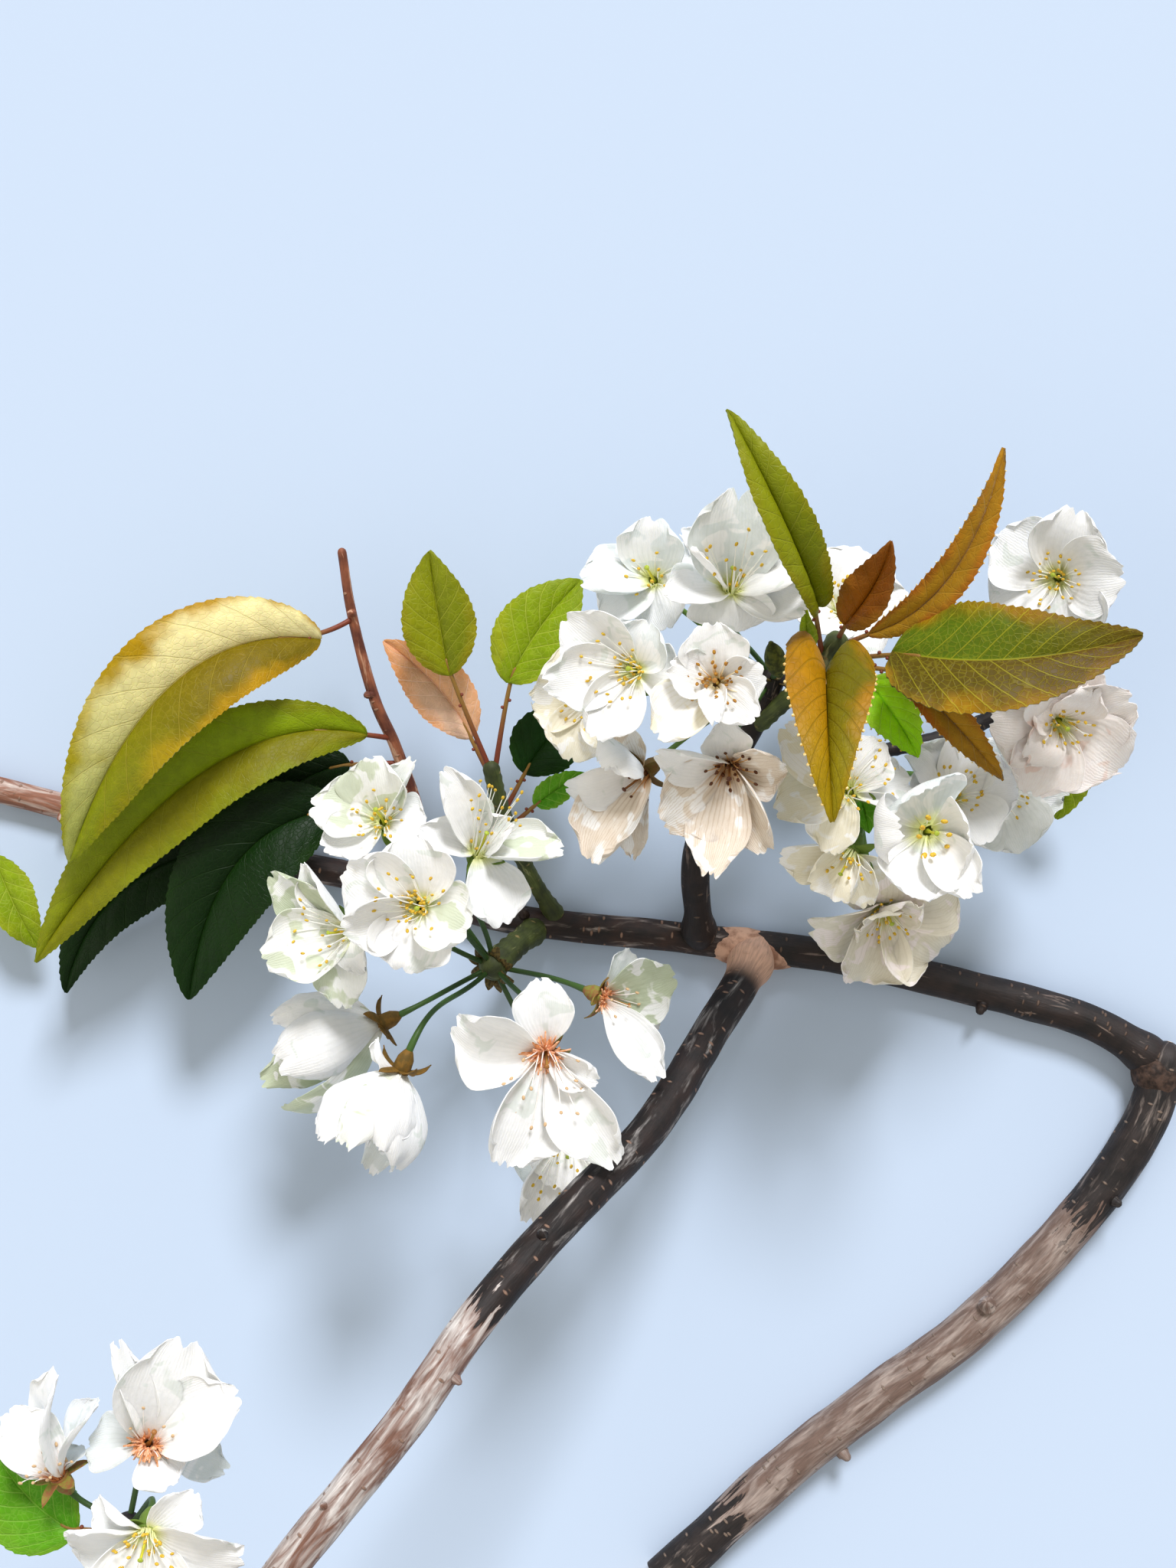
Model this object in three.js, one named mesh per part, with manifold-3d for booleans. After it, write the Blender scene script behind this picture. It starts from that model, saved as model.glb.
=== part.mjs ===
// A cut flowering branch of white cherry, lying on its side with its blossom uppermost.
// Millimetres, +Z up. The wood rests on the plane z = 0, +X and +Y run along that plane.
import * as THREE from 'three';
import { mergeVertices } from 'three/addons/utils/BufferGeometryUtils.js';
import Module from 'manifold-3d';

const wasm = await Module();
wasm.setup();

// Driving dimensions
const GAP = 0.3; // clearance between two pieces that meet
const CENTRE = { x: -5.4, y: -75.3, z: 0.08 }; // middle of the underside of the branch's own box
const WOOD_SIDES = 10;
const TWIG_SIDES = 6;
const THICKEST_TWIG = 7; // diameter at the foot up to which a limb counts as a twig
const RING_SPACING = 22; // distance between the rings of a limb

// The bud at the tip of a spur, which its stalks spring from
const BUD_SIDES = 7;
const BUD_RINGS = 4;
const STALK_SINK = 0.6; // where in the bud a stalk starts, of the bud's radius

// A bloom: five petals round a calyx tube, with its stamens as one tuft
const PETALS = 5;
const PETAL_THICKNESS = 0.7;
const PETAL_ROWS = 3;
const UPPER_BLOOMS = 66; // height over which a bloom's petals are dished from two halves each
const PETAL_HALF_WIDTH = 0.47; // of the petal's length
const PETAL_CLAW = 0.1; // half width at its foot, as a share of its widest
const PETAL_TAPER = 1.3; // power by which it narrows to its foot
const PETAL_TIP = 0.44; // half length of the oval that its tip follows, of its length
const PETAL_ROOM = 0.68; // widest half width for a distance from the middle, so that five fit round
const PETAL_BROADEST = 0.68; // how far out the petal is at its widest
const PETAL_FOOT = 1.2; // radius at which a petal springs from the calyx
const PETAL_BOWL = 24; // degrees that a petal turns outwards from foot to tip, each way
const PETAL_NOTCH = 0.09; // depth of the notch in the tip, of the petal's length
const PETAL_DISH = 0.2; // rise of a petal's edges, of its half width
const PETAL_LAP = 0.25; // each petal lies this far above or below its neighbours
const CALYX_LENGTH = 6;
const CALYX_RADIUS = 2.4;
const TUFT_HEIGHT = 7;
const TUFT_RADIUS = 3.2;
const PEDICEL_RADIUS = 0.75;
const PEDICEL_SIDES = 4;
const PEDICEL_STEPS = 4;
const PEDICEL_SPREAD = 1.8; // how much flatter than straight a stalk leaves its spur

// A leaf: a folded blade on a petiole
const LEAF_ROWS = 5;
const LEAF_THICKNESS = 0.8;
const LEAF_THINNEST = 0.011; // of the leaf's length
const LEAF_TIP = 0.05; // half width at foot and tip, as a share of its widest
const PETIOLE_SINK = 0.12; // how far up the blade the petiole runs
const PETIOLE_RADIUS = 0.8;
const PETIOLE_SIDES = 4;
const PETIOLE_STEPS = 2;

const BARK = 0x4a342a;
const BARK_LIGHT = 0x8a7466;
const SHOOT_GREEN = 0x5c6136;
const PETAL_WHITE = 0xf6f4ee;
const PETAL_SHADE = 0xe4dcd0;

// Limbs: the path of the middle of each, and its diameter at both ends. `on` lists the limbs that
// its foot is shaped round, and `bud` marks one with a round bud at its tip.
const LIMBS = {
  base_limb: {
    diameters: [13.2, 13],
    path: [[22, -235, 6.6], [57, -203, 6.6], [85, -181, 6.6], [111, -162, 6.6], [132, -142, 6.6],
      [152, -119, 6.6], [165, -98, 6.6], [170, -82, 6.6]],
  },
  cross_branch: {
    on: ['base_limb'],
    diameters: [11, 9.8],
    path: [[171, -84, 5.5], [150, -71, 5.4], [131, -65, 5.3], [112, -60, 5.2], [95, -56, 5.1],
      [73, -51, 5], [47, -48, 4.9]],
  },
  left_branch: {
    on: ['cross_branch'],
    diameters: [9.6, 7.6],
    path: [[48, -48, 4.8], [24, -45, 4.7], [3, -43, 4.6], [-22, -40, 4.5], [-71, -27, 4.2],
      [-115, -19, 4], [-147, -9, 3.9], [-186, 1, 3.8]],
  },
  upright_shoot: {
    on: ['left_branch'], bud: true,
    diameters: [8.4, 8],
    path: [[33, -46, 5], [32, -38, 14], [31, -20, 28], [38, 3, 38], [46, 19, 45], [50, 29, 50]],
  },
  near_bough: {
    on: ['cross_branch', 'left_branch'],
    diameters: [10.8, 9.6],
    path: [[50, -49, 5], [44, -58, 18], [35, -69, 32], [16, -93, 58], [-5, -110, 80],
      [-27, -131, 100], [-44, -153, 111], [-68, -181, 119], [-81, -197, 121]],
  },
  left_spur: {
    on: ['left_branch'], green: true, bud: true,
    diameters: [5.4, 8.4],
    path: [[-14, -42, 4], [-20, -46, 15], [-27, -52, 24]],
  },
  side_spur: {
    on: ['upright_shoot'], green: true, bud: true,
    diameters: [5, 8],
    path: [[38, 4, 38], [52, 3, 38], [64, 3, 42], [72, 4, 47]],
  },
  leaf_shoot: {
    on: ['upright_shoot'], green: true,
    diameters: [4.4, 6],
    path: [[44, 15, 43], [55, 24, 53], [62, 32, 63], [65, 37, 70]],
  },
  far_twig: {
    on: ['side_spur'], bud: true,
    diameters: [4, 5],
    path: [[64, 3, 42], [82, 9, 36], [103, 14, 33], [120, 22, 33], [133, 28, 34]],
  },
  left_twig: {
    on: ['left_branch'],
    diameters: [4.4, 2.6],
    path: [[-47, -33, 4], [-49, -10, 16], [-55, 11, 26], [-60, 23, 30], [-66, 48, 37], [-68, 64, 42]],
  },
  middle_twig: {
    on: ['left_branch'],
    diameters: [4.4, 4.8],
    path: [[-8, -42, 4], [-18, -24, 16], [-25, -6, 27], [-27, 4, 36]],
  },
  low_twig: {
    on: ['near_bough'], bud: true,
    diameters: [5.4, 6.8],
    path: [[-78, -193, 121], [-92, -198, 112], [-106, -194, 102], [-114, -184, 96]],
  },
};

// Blooms: the middle of the petals, how far the bloom leans from straight up and to which bearing
// (degrees anticlockwise from +X), its breadth, how far its petals are closed, and its turn.
const BLOOMS = {
  left_bloom_1: { on: 'left_spur', at: [-43, -31, 80], lean: 8, bearing: 250, across: 38, cup: 14, turn: 10 },
  left_bloom_2: { on: 'left_spur', at: [-54, -10, 65], lean: 22, bearing: 120, across: 38, cup: 24, turn: 40 },
  left_bloom_3: { on: 'left_spur', at: [-28, -15, 66], lean: 32, bearing: 40, across: 38, cup: 26, turn: 0 },
  left_bloom_4: { on: 'left_spur', at: [-63, -39, 60], lean: 44, bearing: 190, across: 42, cup: 28, turn: 20 },
  left_bloom_5: { on: 'left_spur', at: [-57, -66, 44], lean: 96, bearing: 206, across: 52, cup: 50, turn: 30 },
  left_bloom_6: { on: 'left_spur', at: [-49, -75, 70], lean: 96, bearing: 247, across: 52, cup: 50, turn: 66 },
  left_bloom_7: { on: 'left_spur', at: [-11, -69, 76], lean: 26, bearing: 275, across: 46, cup: 16, turn: 18 },
  left_bloom_8: { on: 'left_spur', at: [-6, -98, 43], lean: 30, bearing: 275, across: 36, cup: 24, turn: 50 },
  left_bloom_9: { on: 'left_spur', at: [4, -58, 50], lean: 62, bearing: 340, across: 42, cup: 28, turn: 0 },
  right_bloom_1: { on: 'upright_shoot', at: [36, 49, 86], lean: 32, bearing: 90, across: 44, cup: 25, turn: 18 },
  right_bloom_2: { on: 'upright_shoot', at: [17, 53, 72], lean: 20, bearing: 140, across: 38, cup: 20, turn: 30 },
  right_bloom_3: { on: 'upright_shoot', at: [12, 29, 82], lean: 16, bearing: 200, across: 38, cup: 16, turn: 0 },
  right_bloom_4: { on: 'upright_shoot', at: [32, 25, 96], lean: 10, bearing: 200, across: 32, cup: 30, turn: 50 },
  right_bloom_5: { on: 'upright_shoot', at: [15, 3, 64], lean: 64, bearing: 222, across: 42, cup: 28, turn: 0 },
  right_bloom_6: { on: 'upright_shoot', at: [36, 5, 80], lean: 32, bearing: 262, across: 44, cup: 26, turn: 18 },
  right_bloom_7: { on: 'upright_shoot', at: [2, 23, 52], lean: 30, bearing: 190, across: 34, cup: 24, turn: 36 },
  side_bloom_1: { on: 'side_spur', at: [86, -12, 86], lean: 8, bearing: 300, across: 38, cup: 48, turn: 0 },
  side_bloom_2: { on: 'side_spur', at: [68, -2, 72], lean: 30, bearing: 130, across: 38, cup: 26, turn: 20 },
  side_bloom_3: { on: 'side_spur', at: [70, -18, 62], lean: 60, bearing: 240, across: 34, cup: 34, turn: 0 },
  side_bloom_4: { on: 'side_spur', at: [97, -4, 56], lean: 30, bearing: 60, across: 36, cup: 26, turn: 0 },
  side_bloom_5: { on: 'side_spur', at: [82, -34, 38], lean: 40, bearing: 285, across: 44, cup: 24, turn: 36 },
  side_bloom_6: { on: 'side_spur', at: [113, -1, 37], lean: 26, bearing: 330, across: 38, cup: 24, turn: 0 },
  side_bloom_7: { on: 'side_spur', at: [70, 47, 44], lean: 24, bearing: 80, across: 36, cup: 24, turn: 0 },
  far_bloom_1: { on: 'far_twig', at: [128, 56, 50], lean: 26, bearing: 190, across: 40, cup: 20, turn: 0 },
  far_bloom_2: { on: 'far_twig', at: [125, 17, 61], lean: 24, bearing: 280, across: 40, cup: 20, turn: 30 },
  low_bloom_1: { on: 'low_twig', at: [-108, -162, 100], lean: 38, bearing: 58, across: 46, cup: 28, turn: 18 },
  low_bloom_2: { on: 'low_twig', at: [-130, -170, 100], lean: 64, bearing: 115, across: 38, cup: 34, turn: 0 },
  low_bloom_3: { on: 'low_twig', at: [-104, -176, 119], lean: 34, bearing: 270, across: 44, cup: 20, turn: 18 },
};

// Leaves: the path is where the petiole starts, where the blade starts, its middle and its tip.
// `fold` is how far each half is folded up from flat, and `face` is the way its upper side looks.
const LEAVES = {
  top_leaf_1: { on: 'leaf_shoot', path: [[62, 33, 64], [57, 45, 90], [47, 62, 112], [33, 89, 115]],
    width: 14, fold: 50, face: [0.3, 0, 1], colour: 0x8d9a2f },
  top_leaf_2: { on: 'leaf_shoot', path: [[65, 37, 69], [66, 41, 79], [72, 50, 90], [75, 60, 97]],
    width: 13, fold: 30, face: [-0.4, 0, 1], colour: 0x8a4a24 },
  top_leaf_3: { on: 'leaf_shoot', path: [[63, 35, 66], [73, 39, 73], [92, 53, 85], [103, 83, 97]],
    width: 13, fold: 50, face: [0, 0, 1], colour: 0x9a7434 },
  top_leaf_4: { on: 'leaf_shoot', path: [[62, 32, 63], [78, 34, 80], [105, 31, 94], [138, 37, 94]],
    width: 29, fold: 14, face: [0, 0.25, 1], colour: 0x9c9437 },
  top_leaf_5: { on: 'leaf_shoot', path: [[61, 31, 62], [60, 33, 84], [58, 13, 103], [59, -9, 108]],
    width: 25, fold: 24, face: [0, 0, 1], colour: 0xa08a2c },
  top_leaf_6: { on: 'leaf_shoot', path: [[57, 26, 55], [72, 23, 64], [79, 15, 69], [84, 6, 69]],
    width: 14, fold: 20, face: [0, 0, 1], colour: 0x5fa02c },
  top_leaf_7: { on: 'leaf_shoot', path: [[61, 31, 62], [80, 31, 73], [93, 17, 77], [108, 1, 73]],
    width: 10, fold: 40, face: [0, 0, 1], colour: 0x99702f },
  left_leaf_1: { on: 'left_twig', path: [[-66, 46, 37], [-74, 40, 42], [-111, 27, 58], [-141, -21, 50]],
    width: 31, fold: 24, face: [0, 0, 1], colour: 0xc9b93c },
  left_leaf_2: { on: 'left_twig', path: [[-56, 13, 27], [-62, 14, 34], [-107, 3, 42], [-155, -50, 34]],
    width: 25, fold: 22, face: [0, 0, 1], colour: 0x7d8a2c },
  left_leaf_3: { on: 'left_twig', path: [[-52, 2, 22], [-70, -7, 30], [-98, -22, 36], [-113, -61, 29]],
    width: 30, fold: 18, face: [0, 0, 1], colour: 0x2e4218 },
  left_leaf_4: { on: 'left_twig', path: [[-50, -5, 18], [-97, -17, 16], [-134, -30, 16], [-153, -61, 11]],
    width: 20, fold: 16, face: [0, 0, 1], colour: 0x2b3c1c },
  left_leaf_5: { on: 'left_twig', path: [[-53, 6, 24], [-68, 6, 24], [-88, -3, 24], [-105, -22, 23]],
    width: 22, fold: 12, face: [0, 0, 1], colour: 0x3f4c1e },
  middle_leaf_1: { on: 'middle_twig', path: [[-27, 3, 35], [-38, 30, 46], [-41, 47, 50], [-43, 63, 53]],
    width: 20, fold: 20, face: [0, 0, 1], colour: 0x8f9a34 },
  middle_leaf_2: { on: 'middle_twig', path: [[-26, 4, 35], [-22, 28, 44], [-13, 43, 46], [-2, 56, 45]],
    width: 22, fold: 16, face: [0, 0, 1], colour: 0xa9b23c },
  middle_leaf_3: { on: 'middle_twig', path: [[-26, -1, 31], [-33, 13, 33], [-42, 27, 35], [-57, 40, 36]],
    width: 17, fold: 20, face: [0, 0, 1], colour: 0xb08a6a },
  middle_leaf_4: { on: 'middle_twig', path: [[-24, -8, 25], [-18, 3, 26], [-11, 13, 27], [-1, 20, 26]],
    width: 19, fold: 12, face: [0, 0, 1], colour: 0x2f4a1e },
  middle_leaf_5: { on: 'middle_twig', path: [[-22, -12, 22], [-15, -6, 29], [-8, -1, 32], [-1, 3, 32]],
    width: 8, fold: 16, face: [0, 0, 1], colour: 0x6f8a2a },
  low_leaf: { on: 'low_twig', path: [[-114, -185, 96], [-128, -187, 92], [-140, -178, 92], [-150, -164, 92]],
    width: 26, fold: 14, face: [0, 0, 1], colour: 0x6fa03a },
  far_leaf: { on: 'far_twig', path: [[132, 27, 34], [137, 14, 28], [138, 3, 24], [136, -10, 16]],
    width: 12, fold: 14, face: [0, 0, 1], colour: 0x7a9a3a },
  end_leaf: { on: 'left_branch', path: [[-178, -1, 4], [-173, -21, 14], [-166, -36, 16], [-160, -48, 13]],
    width: 14, fold: 14, face: [0, 0, 1], colour: 0xa8b040 },
};

const vector = ([x, y, z]) => new THREE.Vector3(x, y, z);
const radians = THREE.MathUtils.degToRad;

// Closed solid of a geometry, with the vertices that faces share made one.
function solidOf(geometry) {
  const bare = geometry.clone();
  bare.deleteAttribute('normal');
  bare.deleteAttribute('uv');
  const merged = mergeVertices(bare, 1e-4);
  return new wasm.Manifold(new wasm.Mesh({
    numProp: 3,
    vertProperties: new Float32Array(merged.attributes.position.array),
    triVerts: new Uint32Array(merged.index.array),
  }));
}

// Geometry of a closed solid.
function geometryOf(solid) {
  const mesh = solid.getMesh();
  const geometry = new THREE.BufferGeometry();
  geometry.setAttribute('position', new THREE.BufferAttribute(mesh.vertProperties, 3));
  geometry.setIndex(new THREE.BufferAttribute(mesh.triVerts, 1));
  geometry.computeVertexNormals();
  return geometry;
}

// Moves every vertex of a geometry to the place that `place(x, y, z)` gives for it.
function reshape(geometry, place) {
  const position = geometry.attributes.position;
  for (let i = 0; i < position.count; i += 1) {
    const to = place(position.getX(i), position.getY(i), position.getZ(i));
    position.setXYZ(i, to.x, to.y, to.z);
  }
  return geometry;
}

// A round limb along a curve, tapering from the first radius to the last.
function limbSolid(curve, radii, sides, steps) {
  const frames = curve.computeFrenetFrames(steps);
  const cylinder = new THREE.CylinderGeometry(radii[1], radii[0], 1, sides, steps);
  return solidOf(reshape(cylinder, (x, y, z) => {
    const along = y + 0.5;
    const ring = Math.round(along * steps);
    const across = frames.normals[ring];
    const over = new THREE.Vector3().crossVectors(across, frames.tangents[ring]);
    return curve.getPointAt(along).addScaledVector(across, x).addScaledVector(over, z);
  }));
}

// The solid of a named limb, made larger all round by `grow`, and not yet cut at its foot.
function namedLimb(name, grow = 0) {
  const limb = LIMBS[name];
  const path = limb.path.map(vector);
  const back = path[0].clone().sub(path[1]).setLength(grow);
  const ahead = path.at(-1).clone().sub(path.at(-2)).setLength(grow);
  path[0].add(back);
  path.at(-1).add(ahead);
  const curve = new THREE.CatmullRomCurve3(path);
  const steps = Math.max(3, Math.round(curve.getLength() / RING_SPACING));
  const sides = limb.diameters[0] > THICKEST_TWIG ? WOOD_SIDES : TWIG_SIDES;
  const wood = limbSolid(curve, limb.diameters.map((d) => d / 2 + grow), sides, steps);
  if (!limb.bud) return wood;
  const tip = vector(limb.path.at(-1));
  const bud = new THREE.SphereGeometry(limb.diameters[1] / 2 + grow, BUD_SIDES, BUD_RINGS);
  return wood.add(solidOf(bud.translate(tip.x, tip.y, tip.z)));
}

// How wide a petal is, as a share of its widest, at a share of its length.
function petalWidth(along) {
  if (along < PETAL_BROADEST) {
    return PETAL_CLAW + (1 - PETAL_CLAW) * Math.sin((Math.PI / 2) * (along / PETAL_BROADEST)) ** PETAL_TAPER;
  }
  return Math.sqrt(1 - ((along - PETAL_BROADEST) / PETAL_TIP) ** 2);
}

// One petal in the bloom's own frame, reaching out along +X and opening to +Z.
function petalSolid(length, cup, halves) {
  const rise = (along) => radians(cup + PETAL_BOWL * (1 - 2 * along));
  const blade = new THREE.BoxGeometry(2, 1, PETAL_THICKNESS, halves, PETAL_ROWS, 1);
  return solidOf(reshape(blade, (x, y, z) => {
    const along = y + 0.5;
    const trim = PETAL_NOTCH * along ** 4 * (Math.abs(x) < 0.5 ? 1 : 1.3);
    const reach = length * (along - trim);
    const slope = rise(along);
    const mean = rise(along / 2);
    const radius = PETAL_FOOT + reach * Math.cos(mean);
    const half = Math.min(PETAL_HALF_WIDTH * length * petalWidth(along), PETAL_ROOM * radius);
    const lift = z + PETAL_DISH * half * x * x;
    return new THREE.Vector3(
      radius - lift * Math.sin(slope),
      -x * half,
      reach * Math.sin(mean) + lift * Math.cos(slope),
    );
  }));
}

// The calyx tube under the petals and the tuft of stamens over them, as one turned solid.
function heartSolid() {
  const profile = [
    [0, -CALYX_LENGTH],
    [PEDICEL_RADIUS * 1.3, -CALYX_LENGTH],
    [CALYX_RADIUS, -CALYX_LENGTH * 0.3],
    [TUFT_RADIUS * 0.6, 1.2],
    [TUFT_RADIUS, TUFT_HEIGHT],
    [0, TUFT_HEIGHT * 1.1],
  ].map(([radius, height]) => new THREE.Vector2(radius, height));
  return solidOf(new THREE.LatheGeometry(profile, PETALS).rotateX(Math.PI / 2));
}

// Which way a bloom faces.
function facing(bloom) {
  const lean = radians(bloom.lean);
  const bearing = radians(bloom.bearing);
  return new THREE.Vector3(
    Math.sin(lean) * Math.cos(bearing),
    Math.sin(lean) * Math.sin(bearing),
    Math.cos(lean),
  );
}

// The curve of a bloom's stalk, from its limb's tip into the foot of its calyx.
function pedicelCurve(bloom) {
  const limb = LIMBS[bloom.on];
  const tip = vector(limb.path.at(-1));
  const face = facing(bloom);
  const foot = vector(bloom.at).addScaledVector(face, -CALYX_LENGTH + 1);
  const span = foot.distanceTo(tip);
  const spread = new THREE.Vector3(PEDICEL_SPREAD, PEDICEL_SPREAD, 1);
  const lead = foot.clone().sub(tip).multiply(spread).normalize();
  const start = tip.clone().addScaledVector(lead, (STALK_SINK * limb.diameters[1]) / 2);
  return new THREE.CubicBezierCurve3(
    start,
    tip.clone().addScaledVector(lead, span * 0.4),
    foot.clone().addScaledVector(face, -span * 0.35),
    foot,
  );
}

// A whole bloom with its stalk, standing off the limb that carries it.
function bloomSolid(bloom) {
  const halves = bloom.at[2] > UPPER_BLOOMS ? 2 : 1;
  const petal = petalSolid(bloom.across / 2, bloom.cup, halves);
  const turnTo = new THREE.Quaternion().setFromUnitVectors(new THREE.Vector3(0, 0, 1), facing(bloom));
  const frame = new THREE.Matrix4().compose(vector(bloom.at), turnTo, new THREE.Vector3(1, 1, 1));
  const step = 360 / PETALS;
  let flower = heartSolid().rotate([0, 0, bloom.turn + step / 2]);
  for (let i = 0; i < PETALS; i += 1) {
    const lap = i % 2 === 0 ? PETAL_LAP : -PETAL_LAP;
    flower = flower.add(petal.rotate([0, 0, bloom.turn + step * i]).translate([0, 0, lap]));
  }
  const placed = flower.transform(frame.toArray());
  const radii = [PEDICEL_RADIUS, PEDICEL_RADIUS];
  const stalk = limbSolid(pedicelCurve(bloom), radii, PEDICEL_SIDES, PEDICEL_STEPS);
  return placed.add(stalk).subtract(namedLimb(bloom.on, GAP));
}

// How wide a leaf is, as a share of its widest, at a share of its length.
function leafWidth(along) {
  return LEAF_TIP + (1 - LEAF_TIP) * Math.sin(Math.PI * along ** 0.8) ** 0.85;
}

// A leaf's blade and petiole, standing off the limb that carries it.
function leafSolid(leaf) {
  const [start, base, middle, tip] = leaf.path.map(vector);
  const control = middle.clone().multiplyScalar(2).addScaledVector(base, -0.5).addScaledVector(tip, -0.5);
  const spine = new THREE.QuadraticBezierCurve3(base, control, tip);
  const thickness = Math.max(LEAF_THICKNESS, spine.getLength() * LEAF_THINNEST);
  const face = vector(leaf.face);
  const fold = radians(leaf.fold);
  const blade = new THREE.BoxGeometry(2, 1, thickness, 2, LEAF_ROWS, 1);
  const bladeSolid = solidOf(reshape(blade, (x, y, z) => {
    const along = y + 0.5;
    const tangent = spine.getTangentAt(along);
    const across = new THREE.Vector3().crossVectors(tangent, face).normalize();
    const upper = new THREE.Vector3().crossVectors(across, tangent);
    const half = (leaf.width / 2) * leafWidth(along);
    return spine.getPointAt(along)
      .addScaledVector(across, x * half * Math.cos(fold))
      .addScaledVector(upper, Math.abs(x) * half * Math.sin(fold) + z);
  }));
  const inBlade = spine.getPointAt(PETIOLE_SINK);
  const petiole = new THREE.QuadraticBezierCurve3(start, base, inBlade);
  const stalk = limbSolid(petiole, [PETIOLE_RADIUS, PETIOLE_RADIUS * 0.7], PETIOLE_SIDES, PETIOLE_STEPS);
  return bladeSolid.add(stalk).subtract(namedLimb(leaf.on, GAP));
}

const branch = new THREE.Group();
branch.position.set(-CENTRE.x, -CENTRE.y, -CENTRE.z);

// Adds a solid to the branch as a named mesh with a material of its own.
function addPiece(name, solid, colour, roughness) {
  const material = new THREE.MeshStandardMaterial({ color: colour, roughness, metalness: 0 });
  const mesh = new THREE.Mesh(geometryOf(solid), material);
  mesh.name = name;
  branch.add(mesh);
}

for (const [name, limb] of Object.entries(LIMBS)) {
  const whole = namedLimb(name);
  const solid = (limb.on ?? []).reduce((rest, carrier) => rest.subtract(namedLimb(carrier, GAP)), whole);
  const colour = limb.green ? SHOOT_GREEN : BARK;
  addPiece(name, solid, name === 'near_bough' ? BARK_LIGHT : colour, 0.85);
}
for (const [name, bloom] of Object.entries(BLOOMS)) {
  const colour = bloom.at[2] < 60 ? PETAL_SHADE : PETAL_WHITE;
  addPiece(name, bloomSolid(bloom), colour, 0.6);
}
for (const [name, leaf] of Object.entries(LEAVES)) {
  addPiece(name, leafSolid(leaf), leaf.colour, 0.5);
}

export default branch;
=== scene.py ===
"""A cut flowering branch of white cherry, lying on its side with its blossom uppermost.

Places are in millimetres, as the solids' own are before the branch is centred, and each finished
mesh is turned to metres round the middle of the branch. Limbs get their bark's relief, blooms
their petals, stamens, calyx and stalk, and leaves their teeth, veins and petiole.
"""

from __future__ import annotations

import logging
import math
import random
from bisect import bisect_right
from collections.abc import Callable, Iterable, Sequence
from dataclasses import dataclass
from enum import Enum
from functools import cache, cached_property
from itertools import pairwise

import bmesh
import bpy
from mathutils import Matrix, Vector, noise
from mathutils.geometry import interpolate_bezier

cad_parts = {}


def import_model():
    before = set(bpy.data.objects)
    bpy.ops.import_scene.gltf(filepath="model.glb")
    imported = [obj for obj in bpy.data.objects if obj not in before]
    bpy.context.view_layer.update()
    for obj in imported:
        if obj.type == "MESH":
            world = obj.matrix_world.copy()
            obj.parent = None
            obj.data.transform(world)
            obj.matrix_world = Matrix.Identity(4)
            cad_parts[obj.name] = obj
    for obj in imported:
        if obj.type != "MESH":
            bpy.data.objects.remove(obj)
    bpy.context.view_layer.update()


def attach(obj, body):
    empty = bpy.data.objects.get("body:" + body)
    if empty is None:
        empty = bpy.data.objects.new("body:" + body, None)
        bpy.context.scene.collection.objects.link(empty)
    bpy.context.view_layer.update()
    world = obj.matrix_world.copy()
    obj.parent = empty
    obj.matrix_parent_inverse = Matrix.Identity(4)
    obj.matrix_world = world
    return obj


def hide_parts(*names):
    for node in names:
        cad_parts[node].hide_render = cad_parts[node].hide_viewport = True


log = logging.getLogger("cherry_branch")

Point = tuple[float, float, float]
Shape = Callable[[float, float], Vector]
Radius = Callable[[float, float], float]
Value = bpy.types.NodeSocket | tuple[float, ...]

MM = 0.001
CENTRE = Vector((-5.4, -75.3, 0.08))  # middle of the underside of the branch's own box
TO_METRES = Matrix.Scale(MM, 4) @ Matrix.Translation(-CENTRE)
UP = Vector((0, 0, 1))
SPREAD_MAP = "spread"  # the UV map of every piece
NEARLY_DOWN = Vector((0.13, 0.07, -1))  # where the turns round a tube start from
COURSE_POINTS = 16  # on a course, between two points of its path
CURVE_POINTS = 24  # on a curve with handles
HEADING_STEP = 0.012  # share of a course, each way, over which its heading is read
CAP_ANGLES = (30, 60, 82)  # degrees up a rounded end at which its rings stand
WELD = 1e-4  # millimetres within which corners are joined
SEED_STEP = 7.31  # from the noise of one seed to that of the next
PETALS = 5
GOLDEN_TURN = 137.5  # degrees between one stamen and the next
VEIN_SLANT = 0.5  # how far forwards a leaf's side vein runs, of the blade's width
TONGUES = 60.0  # millimetres over which the ends of a worn stretch of bark, partly painted light, straggle


# Small helpers


def linear(hex_colour: str) -> tuple[float, float, float, float]:
    """A colour as the shaders want it.

    Args:
        hex_colour: six sRGB digits, such as "f4f1ea".

    Returns:
        Linear red, green and blue, and a full alpha.
    """
    shares = [int(hex_colour[i : i + 2], 16) / 255 for i in (0, 2, 4)]
    red, green, blue = (s / 12.92 if s <= 0.04045 else ((s + 0.055) / 1.055) ** 2.4 for s in shares)
    return red, green, blue, 1.0


def add_node(
    tree: bpy.types.NodeTree, kind: str, inputs: dict | None = None, **settings: object
) -> bpy.types.Node:
    """Adds a shader node with its settings, values and links.

    Args:
        tree: the node tree it goes into.
        kind: the node's type name, without the ShaderNode that it starts with.
        inputs: by socket name or number, a value or the output that it is linked to.
        settings: the node's own properties.

    Returns:
        The new node.
    """
    node = tree.nodes.new("ShaderNode" + kind)
    for name, value in settings.items():
        setattr(node, name, value)
    for socket, value in (inputs or {}).items():
        if isinstance(value, bpy.types.NodeSocket):
            tree.links.new(value, node.inputs[socket])
        else:
            node.inputs[socket].default_value = value
    return node


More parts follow.
